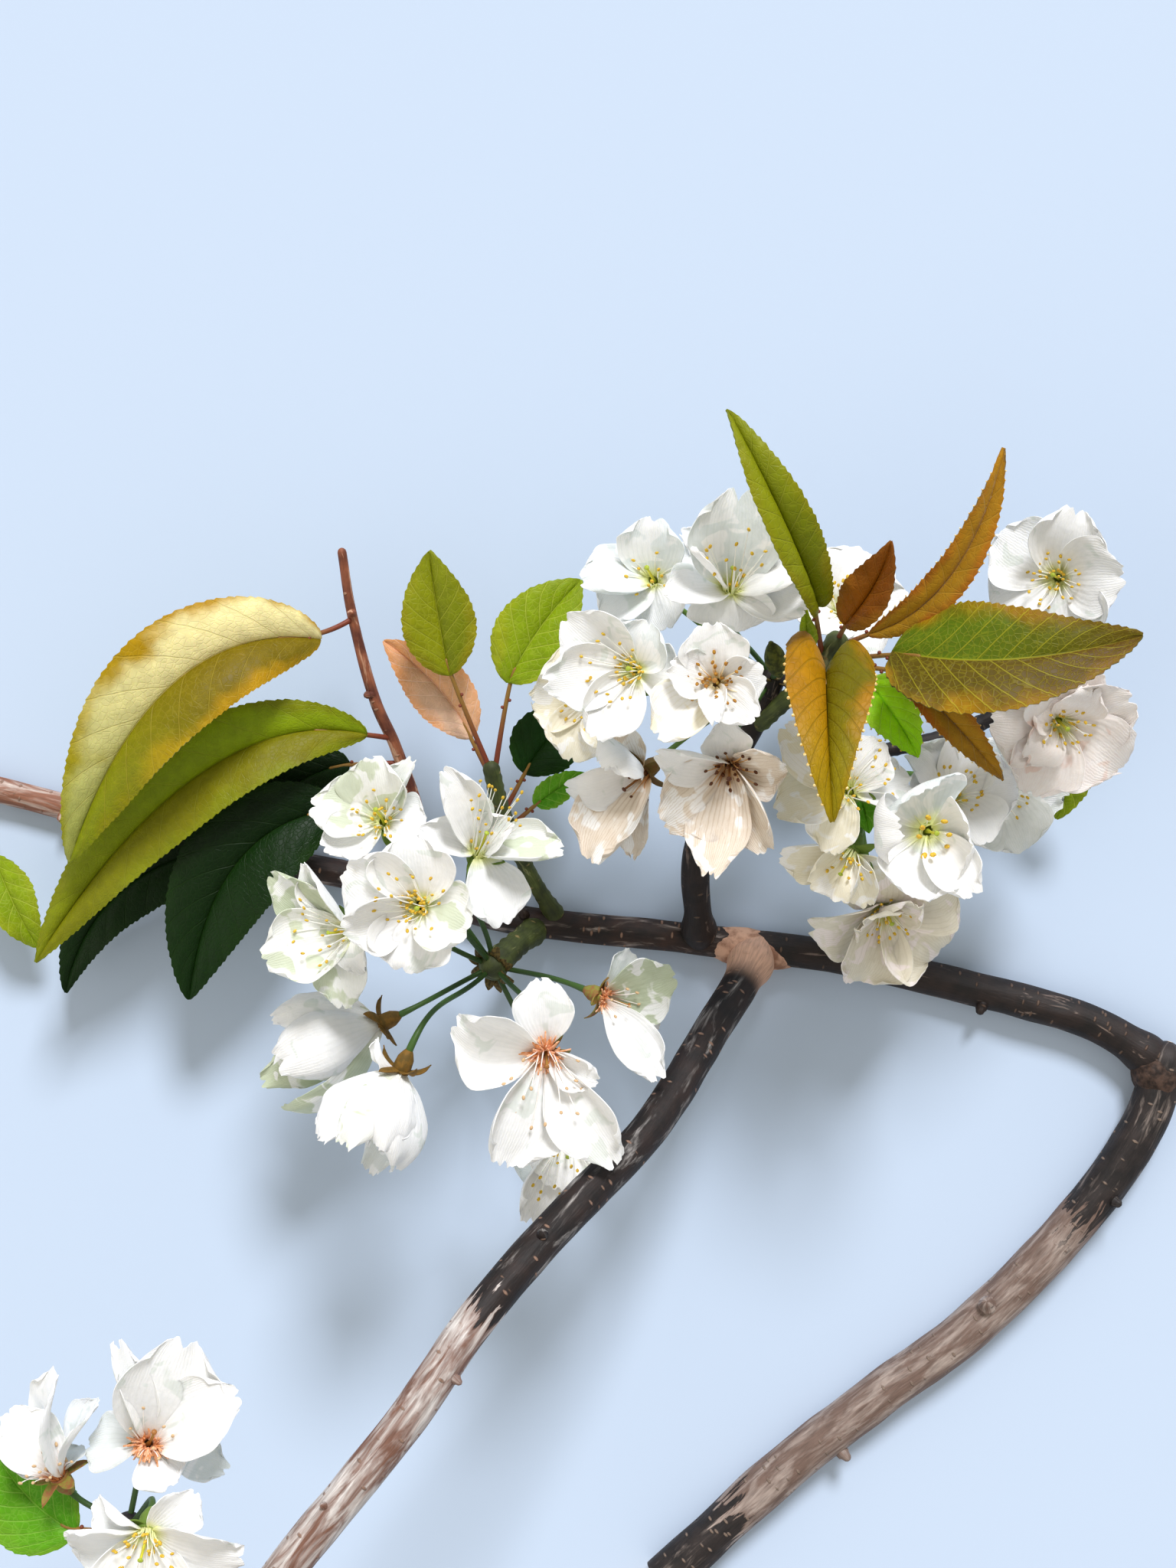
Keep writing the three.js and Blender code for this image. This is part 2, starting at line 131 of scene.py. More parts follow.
def new_material(name: str) -> tuple[bpy.types.Material, bpy.types.NodeTree, bpy.types.Node]:
    """Starts a material that has nothing but its output node.

    Args:
        name: the material's name.

    Returns:
        The material, its node tree and its output node.
    """
    material = bpy.data.materials.new(name)
    material.use_nodes = True
    tree = material.node_tree
    tree.nodes.clear()
    return material, tree, add_node(tree, "OutputMaterial")


def ease(value: float, start: float, end: float) -> float:
    """How far a value has come from start to end, easing in and out, from 0 to 1."""
    share = min(max((value - start) / (end - start), 0.0), 1.0)
    return share * share * (3 - 2 * share)


def ripple(x: float, y: float, seed: float) -> float:
    """Smooth noise from about -1 to 1."""
    return noise.noise(Vector((x, y, seed * SEED_STEP)))


def own_seed(name: str) -> float:
    """The place in the noise that belongs to a piece's name."""
    return random.Random(name).uniform(0, 40)


def turned(first: Vector, second: Vector, turn: float) -> Vector:
    """The direction so many radians from a first one towards a second one, square to it."""
    return first * math.cos(turn) + second * math.sin(turn)


class Course:
    """A smooth line in space, read by its share of length."""

    def __init__(self, points: Sequence[Vector]) -> None:
        """Measures the line.

        Args:
            points: points along it, close together.
        """
        self.points = list(points)
        self.marks = [0.0]
        for here, there in pairwise(self.points):
            self.marks.append(self.marks[-1] + (there - here).length)
        self.length = self.marks[-1]

    @classmethod
    def through(cls, path: Iterable[Point]) -> Course:
        """Lays a centripetal Catmull-Rom curve through points, as the solids have it.

        Args:
            path: the points in millimetres.

        Returns:
            The curve.
        """
        knots = [Vector(point) for point in path]
        knots = [knots[0] * 2 - knots[1], *knots, knots[-1] * 2 - knots[-2]]
        spots: list[Vector] = []
        for before, start, end, after in zip(knots, knots[1:], knots[2:], knots[3:]):
            first, middle, last = (
                math.sqrt((b - a).length) for a, b in ((before, start), (start, end), (end, after))
            )
            chord = (end - start) / middle
            lead = (start - before) / first - (end - before) / (first + middle) + chord
            trail = chord - (after - start) / (middle + last) + (after - end) / last
            handles = (start + lead * middle / 3, end - trail * middle / 3)
            spots += interpolate_bezier(start, *handles, end, COURSE_POINTS)[:-1]
        return cls([*spots, knots[-2]])

    @classmethod
    def bent(cls, start: Vector, lead: Vector, trail: Vector, end: Vector) -> Course:
        """A cubic Bezier curve from its two ends and two handles."""
        return cls(interpolate_bezier(start, lead, trail, end, CURVE_POINTS))

    @classmethod
    def arched(cls, start: Vector, control: Vector, end: Vector) -> Course:
        """A quadratic Bezier curve."""
        return cls.bent(start, start.lerp(control, 2 / 3), end.lerp(control, 2 / 3), end)

    def at(self, share: float) -> Vector:
        """Finds a point of the line.

        Args:
            share: how far along it lies, from 0 to 1.

        Returns:
            The point.
        """
        mark = min(max(share, 0.0), 1.0) * self.length
        index = min(max(bisect_right(self.marks, mark), 1), len(self.points) - 1)
        start, end = self.marks[index - 1], self.marks[index]
        return self.points[index - 1].lerp(self.points[index], (mark - start) / (end - start))

    def heading(self, share: float) -> Vector:
        """The way the line runs there."""
        before, after = max(share - HEADING_STEP, 0.0), min(share + HEADING_STEP, 1.0)
        return (self.at(after) - self.at(before)).normalized()

    def across(self, share: float, under: Vector) -> tuple[Vector, Vector]:
        """Finds two directions square to the line and to each other.

        Args:
            share: how far along the line, from 0 to 1.
            under: the way that the first one looks, as nearly as it can.

        Returns:
            The two directions.
        """
        heading = self.heading(share)
        first = (under - heading * under.dot(heading)).normalized()
        return first, heading.cross(first)


class End(Enum):
    """How a tube is closed."""

    FLAT = "flat"
    ROUND = "round"


def ring_stations(rings: int, foot: End, tip: End) -> list[tuple[float, float, float]]:
    """Where a tube's rings stand, with the rings that close its ends.

    Args:
        rings: how many bands the tube has between its ends.
        foot: how the foot is closed.
        tip: how the tip is closed.

    Returns:
        For each ring its share of the length, how many radii it stands past the end, and its
        size as a share of the radius.
    """
    arc = [(math.sin(math.radians(a)), math.cos(math.radians(a))) for a in CAP_ANGLES]
    body = [(ring / rings, 0.0, 1.0) for ring in range(rings + 1)]
    before = [(0.0, -past, size) for past, size in reversed(arc)] if foot is End.ROUND else []
    after = [(1.0, past, size) for past, size in arc] if tip is End.ROUND else []
    first = (0.0, -1.0 if foot is End.ROUND else 0.0, 0.0)
    last = (1.0, 1.0 if tip is End.ROUND else 0.0, 0.0)
    return [first, *before, *body, *after, last]


def add_tube(
    form: bmesh.types.BMesh,
    course: Course,
    radius: Radius,
    sides: int,
    rings: int,
    ends: tuple[End, End] = (End.ROUND, End.ROUND),
    finish: int = 0,
    cut: int | None = None,
    lift: float = 0.0,
) -> None:
    """Adds a closed tube, rolled up from a flat grid round a line.

    Its UV map holds millimetres round and along it.

    Args:
        form: the mesh it is added to.
        course: the middle line.
        radius: the radius in millimetres at a turn in radians and a share of the length.
        sides: how many faces go round.
        rings: how many bands go along.
        ends: how foot and tip are closed.
        finish: the material number of the skin.
        cut: the material number of its flat ends, where it differs.
        lift: the millimetres along at which its map starts.
    """
    stations = ring_stations(rings, *ends)
    rows = len(stations) - 1
    grid = bmesh.ops.create_grid(form, x_segments=sides, y_segments=rows, size=0.5)
    spread = form.loops.layers.uv[SPREAD_MAP]
    frames = []
    under = NEARLY_DOWN
    for share, past, _ in stations:
        under, beside = course.across(share, under)
        frames.append((course.at(share) + course.heading(share) * past * radius(0, share), under, beside))
    girth = math.tau * radius(0, 0.5)
    marks: dict[bmesh.types.BMVert, tuple[float, float, int]] = {}
    for corner in grid["verts"]:
        part = corner.co.x + 0.5
        row = round((corner.co.y + 0.5) * rows)
        share, past, size = stations[row]
        middle, down, beside = frames[row]
        turn = part * math.tau
        reach = radius(turn, share) * size
        corner.co = middle + turned(down, beside, turn) * reach
        marks[corner] = (part * girth, lift + share * course.length + past * reach, row)
    skin = dict.fromkeys(face for corner in grid["verts"] for face in corner.link_faces)
    for face in skin:
        face.material_index = finish
        reached = {marks[corner][2] for corner in face.verts}
        if cut is not None and (reached == {0, 1} or reached == {rows - 1, rows}):
            face.material_index = cut
        for loop in face.loops:
            loop[spread].uv = marks[loop.vert][:2]
    bmesh.ops.remove_doubles(form, verts=grid["verts"], dist=WELD)


def add_sheet(
    form: bmesh.types.BMesh,
    shape: Shape,
    columns: int,
    rows: int,
    thickness: float,
    finish: int = 0,
    back: int | None = None,
) -> None:
    """Adds a thin closed blade: a flat grid shaped as its under side, with a wall raised from it.

    Args:
        form: the mesh it is added to.
        shape: where the point at -1 to 1 across and 0 to 1 along lies, in millimetres.
        columns: how many faces it has across.
        rows: how many faces it has along.
        thickness: the thickness of the wall in millimetres.
        finish: the material number of its upper side.
        back: the material number of its under side, where it differs.
    """
    grid = bmesh.ops.create_grid(form, x_segments=columns, y_segments=rows, size=0.5, calc_uvs=True)
    for corner in grid["verts"]:
        corner.co = shape(corner.co.x * 2, corner.co.y + 0.5)
    skin = list(dict.fromkeys(face for corner in grid["verts"] for face in corner.link_faces))
    for face in skin:
        face.material_index = finish if back is None else back
    bmesh.ops.reverse_faces(form, faces=skin)
    wall = bmesh.ops.extrude_face_region(form, geom=skin, use_keep_orig=True)["geom"]
    upper = dict.fromkeys(part for part in wall if isinstance(part, bmesh.types.BMFace))
    for face in upper:
        face.normal_update()
        face.material_index = finish
    for corner in dict.fromkeys(corner for face in upper for corner in face.verts):
        out = sum((face.normal for face in corner.link_faces if face in upper), Vector())
        corner.co += out.normalized() * thickness


def add_ball(
    form: bmesh.types.BMesh, middle: Vector, sizes: Point, heading: Vector, finish: int = 0
) -> None:
    """Adds a small oval ball.

    Args:
        form: the mesh it is added to.
        middle: the ball's middle.
        sizes: its three radii in millimetres, the third along its heading.
        heading: the way it is turned.
        finish: the material number of its faces.
    """
    turn = UP.rotation_difference(heading).to_matrix().to_4x4()
    place = Matrix.Translation(middle) @ turn @ Matrix.Diagonal((*sizes, 1))
    ball = bmesh.ops.create_uvsphere(form, u_segments=7, v_segments=5, radius=1, matrix=place)
    for face in dict.fromkeys(face for corner in ball["verts"] for face in corner.link_faces):
        face.material_index = finish


def new_form() -> bmesh.types.BMesh:
    """Starts an empty mesh with the UV map that every piece carries.

    Returns:
        The mesh.
    """
    form = bmesh.new()
    form.loops.layers.uv.new(SPREAD_MAP)
    return form


def finish_piece(
    name: str,
    form: bmesh.types.BMesh,
    finishes: Sequence[bpy.types.Material],
    slot: str,
    stands_for: str | None = None,
    crease: float = 50,
) -> bpy.types.Object:
    """slot: the record's material slot; not used.
        stands_for: the solid that it replaces, if it does.
        crease: the angle in degrees over which an edge is drawn sharp.

    Returns:
        The new object, riding on the branch.
    """
    bmesh.ops.transform(form, matrix=TO_METRES, verts=form.verts)
    mesh = bpy.data.meshes.new(name)
    form.to_mesh(mesh)
    form.free()
    mesh.shade_smooth()
    mesh.set_sharp_from_angle(angle=math.radians(crease))
    for finish in finishes:
        mesh.materials.append(finish)
    piece = bpy.data.objects.new(name, mesh)
    bpy.context.scene.collection.objects.link(piece)
    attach(piece, "root")
    if stands_for:
        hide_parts(stands_for)
    return piece


# Finishes

# Sockets that share a name go by number: a Map Range runs from 1 and 2 to 3 and 4, a Mix has its
# share in 0, its numbers in 2 and 3 and its colours in 6 and 7, and a Scale has its factor in 3.
SMOOTH = {"interpolation_type": "SMOOTHSTEP"}  # a Map Range that eases in and out
COLOURS = {"data_type": "RGBA"}  # a Mix of two colours


@dataclass(frozen=True)
class PetalColours:
    """What a petal's skin is made up of."""

    blade: str
    # painted shade, laid over the petal along its creases
    painted_shade: str
    # painted dapples: flecks of shade on white petals, flecks of sunlight on petals painted in shade
    painted_dapple: str
    level: float  # of the noise over which the painted dapples of light and shade lie: 0.5 is half the petal, 0.6 little
    rib: str
    ribbed: float = 0.16  # how strongly the veins are drawn


@dataclass(frozen=True)
class PetalFinish:
    """Living petal: a soft, matt, slightly see-through skin with fine veins that fan outwards."""

    name: str
    colours: PetalColours
    throat: str

    @cache
    def material(self) -> bpy.types.Material:
        """Dresses the petal, with its veins and creases on its own map.

        Returns:
            The petal's material.
        """
        look = self.colours
        material, tree, out = new_material(self.name)
        spread = add_node(tree, "UVMap", uv_map=SPREAD_MAP).outputs[0]
        along = add_node(tree, "SeparateXYZ", {0: spread}).outputs[1]
        place = add_node(tree, "TexCoord").outputs["Object"]
        # Veins: about 13 ribs from claw to margin, and twice as many in the outer half.
        ribs, fine = (
            add_node(
                tree, "TexWave",
                {"Vector": spread, "Scale": scale, "Distortion": bend, "Detail": 2.0, "Detail Scale": size},
            ).outputs["Fac"]
            for scale, bend, size in ((4.2, 2.2, 1.4), (9.5, 3.4, 2.0))
        )
        outer = add_node(tree, "MapRange", {"Value": along, 1: 0.35, 2: 0.85}, **SMOOTH).outputs[0]
        veins = add_node(tree, "Mix", {0: outer, 2: ribs, 3: fine}).outputs[0]
        # Creases of 2.5 mm, which carry painted shade, and a grain of 0.3 mm that takes the gloss off.
        creases = add_node(
            tree, "TexNoise", {"Vector": place, "Scale": 1 / (2.5 * MM), "Detail": 3.0}
        ).outputs["Fac"]
        grain = add_node(
            tree, "TexNoise", {"Vector": place, "Scale": 1 / (0.3 * MM), "Detail": 1.0}
        ).outputs["Fac"]
        # Painted dapples of light and shade, 7 mm across and crisp at their edges: shade on the white and
        # pale pink petals, sunlight on the shaded ones.
        painted_dapple_noise = add_node(
            tree, "TexNoise", {"Vector": place, "Scale": 1 / (7 * MM), "Detail": 2.0, "Distortion": 0.8}
        ).outputs["Fac"]
        painted_dapple_share = add_node(
            tree, "MapRange", {"Value": painted_dapple_noise, 1: look.level - 0.02, 2: look.level + 0.05}, **SMOOTH
        ).outputs[0]
        ribbed = add_node(
            tree, "MapRange", {"Value": veins, 1: 0.55, 2: 1.0, 3: 0.0, 4: look.ribbed}
        ).outputs[0]
        deep = add_node(tree, "MapRange", {"Value": along, 1: 0.24, 2: 0.0}, **SMOOTH).outputs[0]
        # Painted shade along the creases, then painted dapples of light and shade, then veins and throat.
        layers = ((creases, look.painted_shade), (painted_dapple_share, look.painted_dapple), (ribbed, look.rib), (deep, self.throat))
        colour: Value = linear(look.blade)
        for share, hue in layers:
            colour = add_node(tree, "Mix", {0: share, 6: colour, 7: linear(hue)}, **COLOURS).outputs[2]
        relief: dict = {}
        for height, strength, depth in ((creases, 0.35, 0.5), (veins, 0.4, 0.12), (grain, 0.15, 0.05)):
            bump = {"Height": height, "Strength": strength, "Distance": depth * MM}
            relief = {"Normal": add_node(tree, "Bump", bump | relief).outputs[0]}
        rough = add_node(tree, "MapRange", {"Value": grain, 3: 0.48, 4: 0.66}).outputs[0]
        skin = add_node(
            tree, "BsdfPrincipled",
            {
                "Base Color": colour, "Roughness": rough, "IOR": 1.42, "Specular IOR Level": 0.3,
                "Subsurface Weight": 0.3, "Subsurface Radius": (1.0, 0.95, 0.8),
                "Subsurface Scale": 0.6 * MM, "Sheen Weight": 0.08, "Sheen Roughness": 0.5, **relief,
            },
        )
        tree.links.new(skin.outputs[0], out.inputs[0])
        return material


@dataclass(frozen=True)
class ThreadFinish:
    """Filaments, style and stalks: smooth living thread, coloured from its foot to its tip."""

    name: str
    foot: str
    tip: str
    length: float

    @cache
    def material(self) -> bpy.types.Material:
        """Dresses the thread, blended along its map's millimetres.

        Returns:
            The thread's material.
        """
        material, tree, out = new_material(self.name)
        spread = add_node(tree, "UVMap", uv_map=SPREAD_MAP).outputs[0]
        along = add_node(tree, "SeparateXYZ", {0: spread}).outputs[1]
        place = add_node(tree, "TexCoord").outputs["Object"]
        mottle = add_node(
            tree, "TexNoise", {"Vector": place, "Scale": 1 / (0.9 * MM), "Detail": 2.0}
        ).outputs["Fac"]
        start, end = self.length * 0.2, self.length * 0.75
        risen = add_node(tree, "MapRange", {"Value": along, 1: start, 2: end}, **SMOOTH).outputs[0]
        colour = add_node(
            tree, "Mix", {0: risen, 6: linear(self.foot), 7: linear(self.tip)}, **COLOURS
        ).outputs[2]
        dull = add_node(tree, "MapRange", {"Value": mottle, 3: 1.12, 4: 0.86}).outputs[0]
        toned = add_node(tree, "VectorMath", {0: colour, 3: dull}, operation="SCALE").outputs[0]
        rough = add_node(tree, "MapRange", {"Value": mottle, 3: 0.38, 4: 0.6}).outputs[0]
        relief = add_node(
            tree, "Bump", {"Height": mottle, "Strength": 0.3, "Distance": 0.1 * MM}
        ).outputs[0]
        skin = add_node(
            tree, "BsdfPrincipled",
            {"Base Color": toned, "Roughness": rough, "Normal": relief, "Subsurface Weight": 0.1,
             "Subsurface Scale": 0.4 * MM, "Specular IOR Level": 0.4},
        )
        tree.links.new(skin.outputs[0], out.inputs[0])
        return material


@dataclass(frozen=True)
class GrainFinish:
    """Anthers, cups, scales and callus: dull plant tissue in two tones with a powdery grain."""

    name: str
    light: str
    dark: str
    grain: float  # millimetres across
    relief: float = 0.12  # millimetres deep

    @cache
    def material(self) -> bpy.types.Material:
        """Dresses the tissue, its two tones mixed over its grain.

        Returns:
            The tissue's material.
        """
        material, tree, out = new_material(self.name)
        place = add_node(tree, "TexCoord").outputs["Object"]
        grain = add_node(
            tree, "TexNoise",
            {"Vector": place, "Scale": 1 / (self.grain * MM), "Detail": 4.0, "Roughness": 0.6},
        ).outputs["Fac"]
        share = add_node(tree, "MapRange", {"Value": grain, 1: 0.36, 2: 0.64}, **SMOOTH).outputs[0]
        colour = add_node(
            tree, "Mix", {0: share, 6: linear(self.dark), 7: linear(self.light)}, **COLOURS
        ).outputs[2]
        rough = add_node(tree, "MapRange", {"Value": grain, 3: 0.82, 4: 0.56}).outputs[0]
        bump = add_node(
            tree, "Bump", {"Height": grain, "Strength": 0.6, "Distance": self.relief * MM}
        ).outputs[0]
        skin = add_node(
            tree, "BsdfPrincipled",
            {"Base Color": colour, "Roughness": rough, "Normal": bump, "Specular IOR Level": 0.3},
        )
        tree.links.new(skin.outputs[0], out.inputs[0])
        return material


@dataclass(frozen=True)
class BarkFinish:
    """Young cherry bark: thin, tight and satiny, with corky dashes across it and silvery skin."""

    name: str
    dark: str
    mid: str
    silver: str
    cork: str
    silvered: float = 0.2  # share of the silver skin
    callus: float = 0.0  # millimetres of pale new wood at the foot
    soft: float = 0.05  # how gently the silver skin runs out
    worn_and_lit: str = ""  # the ground where the dark skin has worn off, on the near and left limbs partly painted light
    stretch: tuple[float, float] = (0, 0)  # millimetres along between which it has
    worn_and_lit_silver: float = 0.6  # share of the silver skin there

    @cache
    def material(self) -> bpy.types.Material:
        """Dresses the bark, on its millimetre map.

        Returns:
            The bark's material.
        """
        material, tree, out = new_material(self.name)
        spread = add_node(tree, "UVMap", uv_map=SPREAD_MAP).outputs[0]
        along = add_node(tree, "SeparateXYZ", {0: spread}).outputs[1]
        place = add_node(tree, "TexCoord").outputs["Object"]
        # Corky dashes: 1.5 mm across the limb and half a millimetre along it, a few per cm2.
        dash_map = add_node(tree, "Mapping", {"Vector": spread, "Scale": (1 / 4.2, 1 / 1.9, 1)}).outputs[0]
        dashes = add_node(tree, "TexVoronoi", {"Vector": dash_map, "Scale": 1.0})
        core = add_node(
            tree, "MapRange", {"Value": dashes.outputs["Distance"], 1: 0.27, 2: 0.13}, **SMOOTH
        ).outputs[0]
        chosen = add_node(tree, "SeparateColor", {0: dashes.outputs["Color"]}).outputs[0]
        kept = add_node(tree, "Math", {0: chosen, 1: 0.42}, operation="LESS_THAN").outputs[0]
        cork = add_node(tree, "Math", {0: core, 1: kept}, operation="MULTIPLY").outputs[0]
        # Silvery skin lies in streaks about 3 mm wide and 16 mm long.
        streak_map = add_node(
            tree, "Mapping", {"Vector": spread, "Scale": (1 / 3.0, 1 / 16.0, 1)}
        ).outputs[0]
        streaks = add_node(
            tree, "TexNoise",
            {"Vector": streak_map, "Scale": 1.0, "Detail": 4.0, "Roughness": 0.62, "Distortion": 0.5},
        ).outputs["Fac"]
        # The worn stretch, partly painted light on some limbs, begins and ends in tongues along the grain.
        tongued = add_node(
            tree, "Math", {0: streaks, 1: TONGUES, 2: along}, operation="MULTIPLY_ADD"
        ).outputs[0]
        begun, ended = (mark + TONGUES / 2 for mark in self.stretch)
        after = add_node(tree, "MapRange", {"Value": tongued, 1: begun - 1, 2: begun + 1}).outputs[0]
        worn_and_lit_share = add_node(
            tree, "MapRange", {"Value": tongued, 1: ended + 1, 2: ended - 1, 4: after}
        ).outputs[0]
        plain, worn_and_lit = (0.66 - 0.3 * share for share in (self.silvered, self.worn_and_lit_silver))
        level = add_node(tree, "MapRange", {"Value": worn_and_lit_share, 3: plain, 4: worn_and_lit}).outputs[0]
        over = add_node(tree, "Math", {0: streaks, 1: level}, operation="SUBTRACT").outputs[0]
        skin_share = add_node(
            tree, "MapRange", {"Value": over, 1: -self.soft / 2, 2: self.soft}, **SMOOTH
        ).outputs[0]
        # Brown ground, mottled over 6 mm, with fine cracks along the limb that carry painted shade.
        mottle = add_node(
            tree, "TexNoise", {"Vector": place, "Scale": 1 / (6 * MM), "Detail": 5.0}
        ).outputs["Fac"]
        crack_map = add_node(tree, "Mapping", {"Vector": spread, "Scale": (1 / 0.5, 1 / 5.0, 1)}).outputs[0]
        cracks = add_node(
            tree, "TexNoise", {"Vector": crack_map, "Scale": 1.0, "Detail": 3.0}
        ).outputs["Fac"]
        ground = add_node(tree, "MapRange", {"Value": mottle, 1: 0.35, 2: 0.65}).outputs[0]
        # The worn stretch is real wear, and on the near and left limbs partly painted light.
        layers = [(ground, self.mid), (skin_share, self.silver), (cork, self.cork)]
        if self.worn_and_lit:
            layers.insert(1, (worn_and_lit_share, self.worn_and_lit))
        if self.callus:
            healed = add_node(
                tree, "MapRange", {"Value": along, 1: self.callus, 2: self.callus * 0.55}, **SMOOTH
            ).outputs[0]
            layers.append((healed, CALLUS.light))
        colour: Value = linear(self.dark)
        for share, hue in layers:
            colour = add_node(tree, "Mix", {0: share, 6: colour, 7: linear(hue)}, **COLOURS).outputs[2]
        # Painted shade: the bark darkens down in its fine cracks and lightens a little on the ridges
        # between them.
        painted_shade = add_node(tree, "MapRange", {"Value": cracks, 1: 0.3, 2: 0.6, 3: 0.7, 4: 1.08})
        toned = add_node(tree, "VectorMath", {0: colour, 3: painted_shade.outputs[0]}, operation="SCALE").outputs[0]
        relief: dict = {}
        for height, strength, depth in ((cracks, 0.55, 0.25), (mottle, 0.4, 0.7), (cork, 0.8, 0.3)):
            bump = {"Height": height, "Strength": strength, "Distance": depth * MM}
            relief = {"Normal": add_node(tree, "Bump", bump | relief).outputs[0]}
        rough = add_node(tree, "MapRange", {"Value": skin_share, 3: 0.62, 4: 0.42}).outputs[0]
        skin = add_node(
            tree, "BsdfPrincipled",
            {"Base Color": toned, "Roughness": rough, "Specular IOR Level": 0.4, **relief},
        )
        tree.links.new(skin.outputs[0], out.inputs[0])
        return material


@dataclass(frozen=True)
class CutWoodFinish:
    """Freshly cut cherry sapwood: pale, matt, with rings of growth round the pith."""

    name: str
    middle: Point
    wood: str = "d8b384"
    ring: str = "a9744a"

    @cache
    def material(self) -> bpy.types.Material:
        """Dresses the cut face, ringed round its middle.

        Returns:
            The cut face's material.
        """
        material, tree, out = new_material(self.name)
        place = add_node(tree, "TexCoord").outputs["Object"]
        middle = TO_METRES @ Vector(self.middle)
        centred = add_node(tree, "Mapping", {"Vector": place, "Location": -middle}).outputs[0]
        # Rings of 1.2 mm: the wave repeats every 2 pi / (20 * scale).
        rings = add_node(
            tree, "TexWave",
            {"Vector": centred, "Scale": math.tau / 20 / (1.2 * MM), "Distortion": 0.6, "Detail": 2.0},
            wave_type="RINGS", rings_direction="SPHERICAL",
        ).outputs["Fac"]
        fibre = add_node(
            tree, "TexNoise", {"Vector": place, "Scale": 1 / (0.4 * MM), "Detail": 2.0}
        ).outputs["Fac"]
        share = add_node(tree, "MapRange", {"Value": rings, 1: 0.5, 2: 1.0, 4: 0.7}).outputs[0]
        colour = add_node(
            tree, "Mix", {0: share, 6: linear(self.wood), 7: linear(self.ring)}, **COLOURS
        ).outputs[2]
        bump = add_node(tree, "Bump", {"Height": fibre, "Strength": 0.5, "Distance": 0.2 * MM}).outputs[0]
        rough = add_node(tree, "MapRange", {"Value": fibre, 3: 0.85, 4: 0.65}).outputs[0]
        skin = add_node(tree, "BsdfPrincipled", {"Base Color": colour, "Roughness": rough, "Normal": bump})
        tree.links.new(skin.outputs[0], out.inputs[0])
        return material


